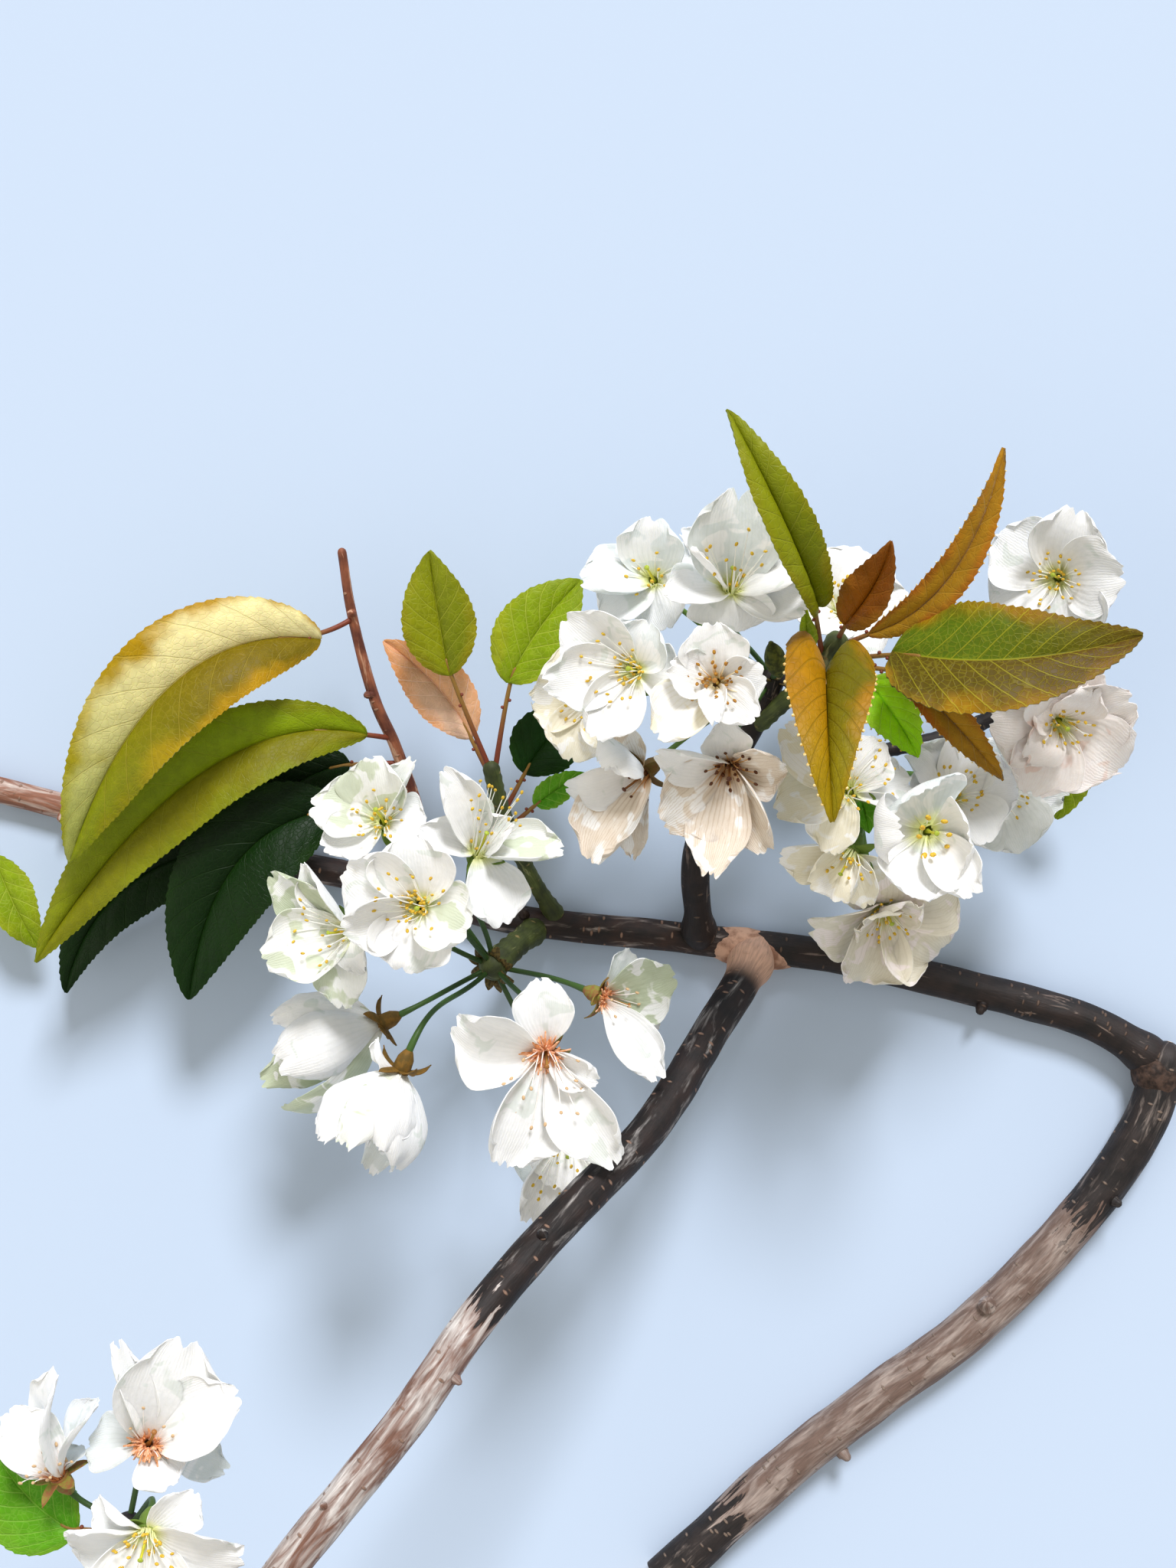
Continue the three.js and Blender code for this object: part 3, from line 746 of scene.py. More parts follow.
@dataclass(frozen=True)
class LeafFinish:
    """A young cherry leaf: thin, satin, netted with veins, and flushed with a second colour."""

    name: str
    halves: tuple[str, str]  # right and left of the midrib
    flush: str  # the second colour, in patches and along the margin
    tip: str
    vein: str
    size: tuple[float, float]  # the blade's width and length in millimetres
    pairs: int = 9  # side veins on each half
    sunk: bool = True  # whether the veins are grooves, as on the upper side
    drawn: float = 0.5  # how strongly the veins show
    fuzz: float = 0.0  # how thick its down of fine hairs is
    tone_and_painted_light: float = 1.0  # how light the blade is, partly painted light that lifts a leaf lying in shade

    @cache
    def material(self) -> bpy.types.Material:
        """Dresses the blade, on its own map.

        Returns:
            The blade's material.
        """
        material, tree, out = new_material(self.name)
        width, length = self.size
        spread = add_node(tree, "UVMap", uv_map=SPREAD_MAP).outputs[0]
        parts = add_node(tree, "SeparateXYZ", {0: spread})
        across, along = parts.outputs[0], parts.outputs[1]
        place = add_node(tree, "TexCoord").outputs["Object"]
        centred = add_node(tree, "MapRange", {"Value": across, 3: -1.0, 4: 1.0}, clamp=False).outputs[0]
        off = add_node(tree, "Math", {0: centred}, operation="ABSOLUTE").outputs[0]
        midrib = add_node(
            tree, "MapRange", {"Value": off, 1: 0.9 / width, 2: 0.3 / width}, **SMOOTH
        ).outputs[0]
        # Side veins leave the midrib forwards, each side half a step behind the other.
        side = add_node(tree, "Math", {0: centred, 1: 0.0}, operation="GREATER_THAN").outputs[0]
        stepped = add_node(tree, "Math", {0: side, 1: 0.5}, operation="MULTIPLY").outputs[0]
        slant = self.pairs * width * VEIN_SLANT / length
        lean = add_node(tree, "Math", {0: off, 1: -slant, 2: stepped}, operation="MULTIPLY_ADD").outputs[0]
        phase = add_node(
            tree, "Math", {0: along, 1: float(self.pairs), 2: lean}, operation="MULTIPLY_ADD"
        ).outputs[0]
        hill = add_node(tree, "Math", {0: phase, 1: 0.5}, operation="PINGPONG").outputs[0]
        vein_share = 0.36 * self.pairs / length
        ribs = add_node(
            tree, "MapRange", {"Value": hill, 1: vein_share, 2: vein_share * 0.3}, **SMOOTH
        ).outputs[0]
        # A net of fine veins with meshes of 1.6 mm.
        net_map = add_node(
            tree, "Mapping", {"Vector": spread, "Scale": (width / 1.6, length / 1.6, 1)}
        ).outputs[0]
        net = add_node(
            tree, "TexVoronoi", {"Vector": net_map, "Scale": 1.0}, feature="DISTANCE_TO_EDGE"
        ).outputs[0]
        mesh = add_node(tree, "MapRange", {"Value": net, 1: 0.1, 2: 0.02, 4: 0.36}).outputs[0]
        major = add_node(tree, "Math", {0: midrib, 1: ribs}, operation="MAXIMUM").outputs[0]
        veins = add_node(tree, "Math", {0: major, 1: mesh}, operation="MAXIMUM").outputs[0]
        patches = add_node(
            tree, "TexNoise", {"Vector": place, "Scale": 1 / (15 * MM), "Detail": 3.0}
        ).outputs["Fac"]
        mottle = add_node(
            tree, "TexNoise", {"Vector": place, "Scale": 1 / (3 * MM), "Detail": 4.0}
        ).outputs["Fac"]
        near_edge = add_node(tree, "MapRange", {"Value": off, 1: 0.45, 2: 1.1, 4: 0.45}).outputs[0]
        ripened = add_node(tree, "Math", {0: patches, 1: near_edge}, operation="ADD").outputs[0]
        flushed = add_node(tree, "MapRange", {"Value": ripened, 1: 0.6, 2: 0.95}, **SMOOTH).outputs[0]
        outer = add_node(tree, "MapRange", {"Value": along, 1: 0.25, 2: 1.0, 4: 0.8}, **SMOOTH).outputs[0]
        colour: Value = linear(self.halves[0])
        for share, hue in ((side, self.halves[1]), (flushed, self.flush), (outer, self.tip)):
            colour = add_node(tree, "Mix", {0: share, 6: colour, 7: linear(hue)}, **COLOURS).outputs[2]
        # The tone is mottled, and lifted by painted light on leaves that lie in shade.
        tone_and_painted_light = add_node(
            tree, "MapRange", {"Value": mottle, 3: 0.46 * self.tone_and_painted_light, 4: 0.78 * self.tone_and_painted_light}
        ).outputs[0]
        toned = add_node(tree, "VectorMath", {0: colour, 3: tone_and_painted_light}, operation="SCALE").outputs[0]
        shown = add_node(tree, "Math", {0: veins, 1: self.drawn}, operation="MULTIPLY").outputs[0]
        drawn = add_node(tree, "Mix", {0: shown, 6: toned, 7: linear(self.vein)}, **COLOURS).outputs[2]
        relief = add_node(
            tree, "Bump", {"Height": mottle, "Strength": 0.3, "Distance": 0.4 * MM}
        ).outputs[0]
        relief = add_node(
            tree, "Bump",
            {"Height": veins, "Strength": 0.7, "Distance": 0.22 * MM, "Normal": relief}, invert=self.sunk,
        ).outputs[0]
        dull = self.fuzz * 0.3
        rough = add_node(tree, "MapRange", {"Value": mottle, 3: 0.38 + dull, 4: 0.56 + dull}).outputs[0]
        skin = add_node(
            tree, "BsdfPrincipled",
            {
                "Base Color": drawn, "Roughness": rough, "Normal": relief, "Specular IOR Level": 0.16,
                "Subsurface Weight": 0.12, "Subsurface Radius": (0.6, 1.0, 0.2),
                "Subsurface Scale": 0.6 * MM, "Sheen Weight": self.fuzz, "Sheen Roughness": 0.4,
            },
        )
        tree.links.new(skin.outputs[0], out.inputs[0])
        return material


CALLUS = GrainFinish("pale_callus_wood", "cfa58c", "8f6752", 4.5, 0.4)
DARK_CALLUS = GrainFinish("dark_callus_wood", "4d3a30", "231914", 2.6, 0.6)
SCALE_BROWN = GrainFinish("bud_scale_papery", "6d5a2c", "3c3318", 0.8)


class Tint(Enum):
    """The colours that petals have: white, pale pink, white flecked with sage painted shade, and a white
    petal in painted shade of grey, blue-grey, sage, khaki, cream and beige.
    """

    WHITE = PetalColours("fffefb", "eff0ef", "e2e7e1", 0.62, "dfe2de")
    # These six are a white petal in painted shade, with painted sunlit flecks as their third colour.
    CREAM_SHADE = PetalColours("f9f4e4", "ece3c8", "fdfbf5", 0.54, "d2c69e", 0.22)
    BEIGE_SHADE = PetalColours("efe5d9", "dccbb6", "fdfaf5", 0.55, "a88a68", 0.36)
    KHAKI_SHADE = PetalColours("ece7d8", "d8d1bf", "f2e8e4", 0.55, "bab49e", 0.25)
    SHADE_GREY = PetalColours("ebedeb", "d4d9d4", "f8f8f6", 0.58, "bcc2bc", 0.2)
    MIST = PetalColours("eff3f2", "d8e1df", "fcfdfb", 0.55, "c6d0cc", 0.2)
    SAGE = PetalColours("d2dac2", "b9c4a6", "f9faf4", 0.55, "a8b490", 0.22)
    # White, dappled with sage painted shade.
    SAGE_SHADE_DAPPLED = PetalColours("fdfdf9", "edf0e9", "d2dac3", 0.55, "dde3d2", 0.18)
    PALE = PetalColours("fbf8f5", "f0e3dc", "ecd6cd", 0.62, "e8d5cb")


@dataclass(frozen=True)
class Heart:
    """The colours in the middle of a bloom of some age."""

    throat: str
    cup: str
    filament_foot: str
    filament_tip: str
    anther: str
    pistil: str
    calyx: str
    sepal: str
    pollen: str


class Age(Enum):
    """How far a bloom has gone over."""

    FRESH = Heart(
        "e6ea9a", "a9b93a", "eef0b4", "fbfaf2", "c99a3e", "d3cf3c", "6d8433", "5f7a2e", "f0cf3a"
    )
    RIPE = Heart(
        "e9d9a6", "a8742c", "d9a95c", "f3e3bd", "a0662c", "c3a83c", "7d6a30", "6f5a28", "b98a2c"
    )
    FADED = Heart(
        "f6dcc6", "a06a30", "d68a54", "fbf4ee", "cfae86", "a8803c", "8a8a3a", "96603a", "dcb98c"
    )
    SPENT = Heart(
        "cfa877", "58301a", "a5682c", "cfa266", "4a2a1c", "8a5a2a", "6f5028", "6b5a2a", "6a3e1e"
    )
    CLOSED = Heart(
        "f1f0e2", "6d4a1e", "a5682c", "cfa266", "4a2a1c", "8a5a2a", "7d5a1e", "5f4a1c", "6a3e1e"
    )


class LeafLook(Enum):
    """The colours of a leaf: right and left of the midrib, flush, tip, veins, under side."""

    OLIVE = ("8a9606", "a2a80c", "aaa214", "9ca612", "a8ac3c", "8f9840")
    # Its golden flush along the margin is partly real colour and partly a painted band of light.
    UNDERSIDE = ("6e5c04", "6a840c", "bc8c0c", "6e4a06", "b8b02c", "6d6a20")
    BRONZE = ("985608", "ae680e", "a46c12", "804406", "b07a34", "8a5a34")
    BROWN_GOLD = ("a87c10", "bc8c14", "b0620c", "b88414", "c49c38", "8a6a34")
    AMBER = ("d2960a", "857c0a", "c88c0e", "b8a40c", "64560c", "b59a3c")
    # Its right half, cream over yellow, is a painted highlight.
    YELLOW_HIGHLIT = ("fff2b0", "7a6804", "ba8e0c", "86980c", "cfb848", "b3b04c")
    # Painted light: a light green leaf, its colours lifted to stand for the sun coming through it.
    SUNLIT_LIME = ("acf80a", "b8fc18", "ccff40", "acf80a", "c8f070", "7fa04a")
    MEADOW = ("62b816", "74c420", "8eca2c", "74c420", "9ccc54", "7fa04a")
    OLIVE_GREEN = ("a4be10", "948f0a", "98a010", "949a0c", "a5a83c", "8a9444")
    # Painted shade: near-black green for leaves that lie in shadow.
    DARK = ("0c2804", "103206", "1c3c08", "123606", "2c4812", "2a4018")
    PINKISH = ("ffc494", "ffd4b4", "ffb880", "f4a868", "ffdcc4", "b08a6a")
    SPRING = ("98b60c", "a0bc12", "b8c41e", "98b20c", "b8c44c", "a0aa50")


# Wood


class Wood(Enum):
    """The bark of a limb, by where it grew and how it lay in the light."""

    # Painted shade: near-black bark for limbs that lie in shadow, with real cork and silver skin.
    SHADED = BarkFinish("cherry_bark_shaded", "150f0e", "291d19", "6f5f56", "5c483b", 0.12)
    BASE = BarkFinish(
        "cherry_bark_weathered", "191515", "2e2624", "a3948b", "7d6b5e", 0.08, soft=0.2,
        worn_and_lit="6f5a50", stretch=(30, 163), worn_and_lit_silver=0.55,
    )
    # Painted shade on its dark stretch, and painted light mixed with real reddish wear on the worn stretch
    # at its end.
    LEFT = BarkFinish(
        "cherry_bark_left", "1c1412", "3a261e", "cdbbb0", "8f6f5c", 0.1, soft=0.2,
        worn_and_lit="8a5a44", stretch=(150, 900), worn_and_lit_silver=0.5,
    )
    # Painted shade on its dark upper stretch, and painted light mixed with real reddish wear and silver
    # skin on the worn stretch towards its cut end.
    NEAR = BarkFinish(
        "cherry_bark_silvered", "140e0d", "281b17", "d8d2cd", "8a6d5c", 0.04, 20, soft=0.24,
        worn_and_lit="745040", stretch=(147, 900), worn_and_lit_silver=0.6,
    )
    SPUR = BarkFinish("cherry_spur_green", "333a1a", "56602a", "8a8a5a", "8a7c4a")
    TWIG = BarkFinish("cherry_twig_red", "5c2e20", "9a5a3c", "c99a7c", "b08468", 0.3)


WOOD_SPACING = 1.1  # between the rings of a limb's mesh
WOOD_SIDES = 56
TWIG_SIDES = 32
THICK_LIMB = 7.0  # diameter over which a limb gets the more sides
WRINKLE_STEP = 9.0  # from one wrinkle, lump, node or ring scar of the bark to the next
LUMP_STEP = 17.0
NODE_STEP = 13.0
SCAR_STEP = 1.7
COLLAR_REACH = 4.5  # how far along a limb, each way, its collar swells it
BUD_SCALES = 9
SCALE_THICKNESS = 0.35


@dataclass(frozen=True)
class Limb:
    """One limb of the branch, from its foot to its tip."""

    name: str
    wood: Wood
    slot: str
    diameters: tuple[float, float]
    path: tuple[Point, ...]
    bud: bool = False  # whether blossom has sprung from a bud at its tip
    ends: tuple[End, End] = (End.ROUND, End.ROUND)
    collar: float = 0.0  # how far the foot swells where it leaves its carrier
    carrier: float = 5.0  # the carrier's radius
    scars: float = 0.0  # height of the ring scars of a short spur
    knobs: tuple[tuple[float, float, float], ...] = ()  # share along, degrees round, size

    @cached_property
    def course(self) -> Course:
        """The limb's middle line."""
        return Course.through(self.path)

    def radius(self, turn: float, share: float) -> float:
        """Measures the bark's radius, with its wrinkles, scars, nodes and collar.

        Args:
            turn: radians round the limb.
            share: how far along it, from 0 to 1.

        Returns:
            The radius in millimetres.
        """
        mark = share * self.course.length
        plain = self.diameters[0] / 2 * (1 - share) + self.diameters[1] / 2 * share
        seed = own_seed(self.name)
        x, y = math.cos(turn), math.sin(turn)
        wrinkle = noise.noise(Vector((x * 2.6, y * 2.6, mark / WRINKLE_STEP + seed)))
        lump = noise.noise(Vector((x * 0.8, y * 0.8, mark / LUMP_STEP + seed * 2)))
        swollen = self.collar * math.exp(-(((mark - self.carrier) / COLLAR_REACH) ** 2))
        ringed = self.scars * (0.5 + 0.5 * math.sin(mark * math.tau / SCAR_STEP + x)) ** 3
        node = 0.05 * max(0.0, ripple(mark / NODE_STEP, 0.3, seed)) ** 2
        return plain * (0.975 + 0.035 * wrinkle + 0.05 * lump + node) + swollen + ringed

    def add_knob(self, form: bmesh.types.BMesh, share: float, degrees: float, size: float) -> None:
        """Adds the stub of a lost twig or an old bud.

        Args:
            form: the mesh it is added to.
            share: how far along the limb it stands.
            degrees: how far round the limb it stands.
            size: the radius of its foot in millimetres.
        """
        start, heading = self.course.at(share), self.course.heading(share)
        turn = math.radians(degrees)
        out = turned(*self.course.across(share, NEARLY_DOWN), turn)
        skin = self.radius(turn, share)
        foot = start + out * skin * 0.5
        end = start + out * (skin + size * 0.7) + heading * size * 0.3
        seed = own_seed(self.name) + share

        def girth(around: float, along: float) -> float:
            """A stub that is broad at its foot, with a scar ring under its end."""
            scar = 0.12 * size * math.exp(-(((along - 0.8) / 0.08) ** 2))
            return size * (0.95 - 0.4 * along + 0.12 * ripple(around, along * 3, seed)) + scar

        stub = Course.arched(foot, foot.lerp(end, 0.5), end)
        add_tube(form, stub, girth, 18, 10, lift=share * self.course.length)

    def build(self) -> None:
        """Makes the limb's piece, which stands for its solid."""
        form = new_form()
        sides = WOOD_SIDES if self.diameters[0] > THICK_LIMB else TWIG_SIDES
        rings = round(self.course.length / WOOD_SPACING)
        add_tube(form, self.course, self.radius, sides, rings, self.ends, cut=1)
        for share, degrees, size in self.knobs:
            self.add_knob(form, share, degrees, size)
        cut_end = self.path[0] if self.ends[0] is End.FLAT else self.path[-1]
        finishes = [self.wood.value.material()]
        if End.FLAT in self.ends:
            finishes.append(CutWoodFinish(f"cut_wood_{self.name}", cut_end).material())
        finish_piece(self.name + "_bark", form, finishes, self.slot, self.name)
        if self.bud:
            self.build_scales()

    def build_scales(self) -> None:
        """Makes the papery scales that the bud has left round the limb's tip."""
        form = new_form()
        tip = self.course.at(1)
        heading = self.course.heading(1)
        first, second = self.course.across(1, Vector((1, 0.3, 0.2)))
        dice = random.Random(self.name + "scales")
        for index in range(BUD_SCALES):
            out = turned(first, second, math.radians(index * GOLDEN_TURN))
            start = tip + out * self.diameters[1] * 0.4 - heading * dice.uniform(0, 2)
            size = dice.uniform(4.2, 6.8)
            end = start + out * size * 0.75 + heading * size * dice.uniform(0.1, 0.7)
            control = start + out * size * 0.2 + heading * size * 0.6
            spine = Course.arched(start, control, end)
            side = heading.cross(out)

            def shape(across: float, along: float, spine: Course = spine, side: Vector = side,
                      out: Vector = out, size: float = size) -> Vector:
                """Shapes a pointed oval scale, hollow towards the stalks.

                Args:
                    across: how far across it, from -1 to 1.
                    along: how far along it, from 0 to 1.
                    spine: the line along its middle.
                    side: the way across it.
                    out: the way it faces.
                    size: its length in millimetres.

                Returns:
                    The place in millimetres.
                """
                half = 0.33 * size * math.sin(math.pi * min(0.12 + along * 0.86, 1)) ** 0.7
                dished = out * (across * across * half * 0.4)
                return spine.at(along) + side * across * half - dished

            add_sheet(form, shape, 5, 8, SCALE_THICKNESS)
        finish_piece(self.name + "_scales", form, [SCALE_BROWN.material()], self.slot)


LIMBS = (
    Limb("base_limb", Wood.BASE, "bark", (13.2, 13),
         ((22, -235, 6.6), (57, -203, 6.6), (85, -181, 6.6), (111, -162, 6.6), (132, -142, 6.6),
          (152, -119, 6.6), (165, -98, 6.6), (170, -82, 6.6)),
         ends=(End.FLAT, End.ROUND), knobs=((0.58, 150, 3.4), (0.3, 250, 2.6), (0.8, 215, 2.2))),
    Limb("cross_branch", Wood.SHADED, "bark", (11, 9.8),
         ((171, -84, 5.5), (150, -71, 5.4), (131, -65, 5.3), (112, -60, 5.2), (95, -56, 5.1),
          (73, -51, 5), (47, -48, 4.9)), collar=1.0, carrier=7.5, knobs=((0.45, 130, 2.4),)),
    Limb("left_branch", Wood.LEFT, "bark", (9.6, 7.6),
         ((48, -48, 4.8), (24, -45, 4.7), (3, -43, 4.6), (-22, -40, 4.5), (-71, -27, 4.2),
          (-115, -19, 4), (-147, -9, 3.9), (-186, 1, 3.8)),
         ends=(End.ROUND, End.FLAT), knobs=((0.86, 150, 2.2), (0.28, 215, 2.2))),
    Limb("upright_shoot", Wood.SHADED, "bark", (8.4, 8),
         ((33, -46, 5), (32, -38, 14), (31, -20, 28), (38, 3, 38), (46, 19, 45), (50, 29, 50)),
         bud=True, collar=1.2, carrier=5.5),
    Limb("near_bough", Wood.NEAR, "pale_bark", (10.8, 9.6),
         ((50, -49, 5), (44, -58, 18), (35, -69, 32), (16, -93, 58), (-5, -110, 80),
          (-27, -131, 100), (-44, -153, 111), (-68, -181, 119), (-81, -197, 121)),
         ends=(End.ROUND, End.FLAT), collar=1.6, carrier=7,
         knobs=((0.52, 200, 2.0), (0.69, 128, 1.7), (0.86, 215, 1.3))),
    Limb("left_spur", Wood.SPUR, "green_twig", (5.4, 8.4),
         ((-14, -42, 4), (-20, -46, 15), (-27, -52, 24)), bud=True, collar=1.0, scars=0.5),
    Limb("side_spur", Wood.SPUR, "green_twig", (5, 8),
         ((38, 4, 38), (52, 3, 38), (64, 3, 42), (72, 4, 47)), bud=True, collar=0.8, scars=0.45),
    Limb("leaf_shoot", Wood.SPUR, "green_twig", (4.4, 6),
         ((44, 15, 43), (55, 24, 53), (62, 32, 63), (65, 37, 70)), collar=0.8, scars=0.3),
    Limb("far_twig", Wood.SHADED, "bark", (4, 5),
         ((64, 3, 42), (82, 9, 36), (103, 14, 33), (120, 22, 33), (133, 28, 34)), bud=True, scars=0.2),
    Limb("left_twig", Wood.TWIG, "red_twig", (4.4, 2.6),
         ((-47, -33, 4), (-49, -10, 16), (-55, 11, 26), (-60, 23, 30), (-66, 48, 37), (-68, 64, 42)),
         collar=0.8, knobs=((0.62, 150, 1.5), (0.84, 200, 1.4))),
    Limb("middle_twig", Wood.SPUR, "green_twig", (4.4, 4.8),
         ((-8, -42, 4), (-18, -24, 16), (-25, -6, 27), (-27, 4, 36)), collar=0.8, scars=0.25),
    Limb("low_twig", Wood.NEAR, "bark", (5.4, 6.8),
         ((-78, -193, 121), (-92, -198, 112), (-106, -194, 102), (-114, -184, 96)),
         bud=True, scars=0.3),
)


@dataclass(frozen=True)
class Burl:
    """A swelling of pale healed wood where limbs meet."""

    name: str
    middle: Point
    sizes: Point
    bearing: float
    finish: GrainFinish

    def build(self) -> None:
        """Makes the swelling's piece."""
        form = new_form()
        turn = Matrix.Rotation(math.radians(self.bearing), 4, "Z")
        ball = bmesh.ops.create_icosphere(form, subdivisions=5, radius=1)
        for corner in ball["verts"]:
            lump = noise.noise(corner.co * 1.7 + Vector(self.middle))
            fold = noise.noise(corner.co * 5.5 + Vector(self.middle))
            corner.co *= 1 + 0.1 * lump + 0.035 * fold
        place = Matrix.Translation(Vector(self.middle)) @ turn @ Matrix.Diagonal((*self.sizes, 1))
        bmesh.ops.transform(form, matrix=place, verts=form.verts)
        finish_piece(self.name, form, [self.finish.material()], "pale_bark")


BURLS = (
    Burl("junction_burl", (48, -49, 5.4), (14.5, 5.9, 5.3), -10, CALLUS),
    Burl("elbow_burl", (167.5, -86, 6.6), (6.8, 8.2, 6.9), 20, DARK_CALLUS),
)


# Blooms

PETAL_THICKNESS = 0.22
PETAL_COLUMNS = 20
PETAL_ROWS = 18
PETAL_FOOT = 1.3  # radius at which a petal springs from the calyx
PETAL_BOWL = 24  # degrees that a petal turns outwards from foot to tip, each way
PETAL_HUMP = 0.1  # how far it bows inwards over the straight line to its tip, of that line
PETAL_CLAW = 0.12  # how broad it is at its foot, of its widest
PETAL_BROADEST = 0.62  # how far along it is widest
PETAL_TIP = 0.45  # the length over which its tip would be rounded off to nothing
PETAL_SHOULDER = 0.2  # how far its corners are rounded off, of its length
PETAL_DISH = 0.2  # how far its margins stand up, of half its breadth
CURL_START = 0.6  # how far along a petal its tip begins to curl
FILAMENT_RADIUS = 0.19
ANTHER = (0.46, 0.36, 0.62)  # half its breadth, depth and length
TUFT_THREADS = 22  # for each millimetre of a withered tuft's radius
CUP_WALL = ((0, -6), (1.0, -6), (1.5, -5.2), (2.25, -3.6), (2.4, -2), (2.5, -0.3), (2.3, 0.35),
            (1.9, 0.1), (1.75, -1.4), (1.3, -2.8), (0, -3.4))  # radius and height, outside then inside
CUP_FLOOR = -3.45
CUP_INSIDE = 2.15
SEPAL_LENGTH = 6.0
SEPAL_THICKNESS = 0.3
CALYX_LENGTH = 6.0
PEDICEL_RADIUS = 0.75
STALK_SINK = 0.6  # how deep a stalk's foot is in its limb's tip, of the tip's radius
PEDICEL_SPREAD = Vector((1.8, 1.8, 1))  # how much more sideways than up the stalks set out
EYE_HEIGHT = 564.0  # of the camera over the floor
PIXELS_PER_SLOPE = 2470.0  # how far a pixel is from the picture's middle, for a slope of 1
PICTURE_MIDDLE = (768.0, 1024.0)


def from_pixel(x: float, y: float, height: float) -> Vector:
    """The place at some height that the camera sees at a pixel of its 1536 by 2048 picture."""
    scale = (EYE_HEIGHT - height) / PIXELS_PER_SLOPE
    return Vector(((x - PICTURE_MIDDLE[0]) * scale, (PICTURE_MIDDLE[1] - y) * scale, height))


@dataclass(frozen=True)
class Petal:
    """One petal, from its foot on the calyx to its tip."""

    foot: Vector
    middle: Vector
    tip: Vector
    face: Vector  # the way its inner side looks
    half: float  # half its breadth where it is widest
    tint: Tint
    notch: float
    ruffle: float
    curl: float  # how far its tip turns in, from -1 to 1
    roll: float  # degrees that it is tilted, so that it laps over its neighbour
    folds: tuple[float, float]  # how far each margin is turned in
    seed: float
    taper: float  # how narrow it stays towards its foot

    @cached_property
    def spine(self) -> Course:
        """The line along its middle."""
        return Course.arched(self.foot, self.middle * 2 - (self.foot + self.tip) / 2, self.tip)

    def breadth(self, along: float) -> float:
        """Measures how wide the petal is.

        Args:
            along: how far along it, from 0 to 1.

        Returns:
            Its breadth there, as a share of its widest.
        """
        if along < PETAL_BROADEST:
            rise = math.sin(math.pi / 2 * along / PETAL_BROADEST) ** self.taper
            return PETAL_CLAW + (1 - PETAL_CLAW) * rise
        return math.sqrt(1 - ((along - PETAL_BROADEST) / PETAL_TIP) ** 2)

    def spot(self, across: float, along: float) -> Vector:
        """Finds where a point of the petal lies, with its notch, folds, ruffles and dish.

        Args:
            across: how far across it, from -1 to 1.
            along: how far along it, from 0 to 1.

        Returns:
            The place in millimetres.
        """
        drop = PETAL_SHOULDER * abs(across) ** 2.6 + self.notch * math.exp(-((across / 0.13) ** 2))
        ragged = 0.035 * ripple(across * 5, 0, self.seed) + 0.02 * ripple(across * 13, 4, self.seed)
        reach = along * (1 - (drop + ragged * self.ruffle) * along**3)
        heading = self.spine.heading(reach)
        level = self.face.cross(heading).normalized()
        above = heading.cross(level)
        tilt = math.radians(self.roll)
        side, inner = turned(level, above, tilt), turned(above, -level, tilt)
        half = self.half * self.breadth(along)
        half *= 1 + 0.07 * ripple(along * 4, 2 * across, self.seed + 3)
        edge = max(abs(across), along**2)
        wave = self.ruffle * edge**2.5 * (
            1.5 * ripple(across * 1.8, along * 2.2, self.seed)
            + 0.6 * edge**2 * ripple(across * 5.2, along * 5.2, self.seed + 1)
        )
        creased = 0.3 * along * math.cos(across * 7 + self.seed) * (1 - 0.5 * along)
        fold = self.folds[across > 0]
        tucked = fold * max(0.0, abs(across) - 0.45) ** 2 * half
        out = across * half * (1 - 0.35 * max(0.0, abs(across) - 0.5) * abs(fold))
        curled = self.curl * self.spine.length * 1.6 * max(0.0, reach - CURL_START) ** 2
        raised = PETAL_DISH * half * across**2 + wave + creased + tucked + curled
        return self.spine.at(reach) + side * out + inner * raised


@dataclass(frozen=True)
class Mark:
    """Where the picture shows a petal's tip, and how that petal lies."""

    x: float
    y: float
    breadth: float  # pixels
    rise: float  # millimetres that the tip stands over the middle of its bloom
    tint: Tint | None = None
    hump: float = PETAL_HUMP
    roll: float = 8.0
    curl: float = 0.0
    folds: tuple[float, float] = (0.3, 0.3)
    notch: float = 0.06


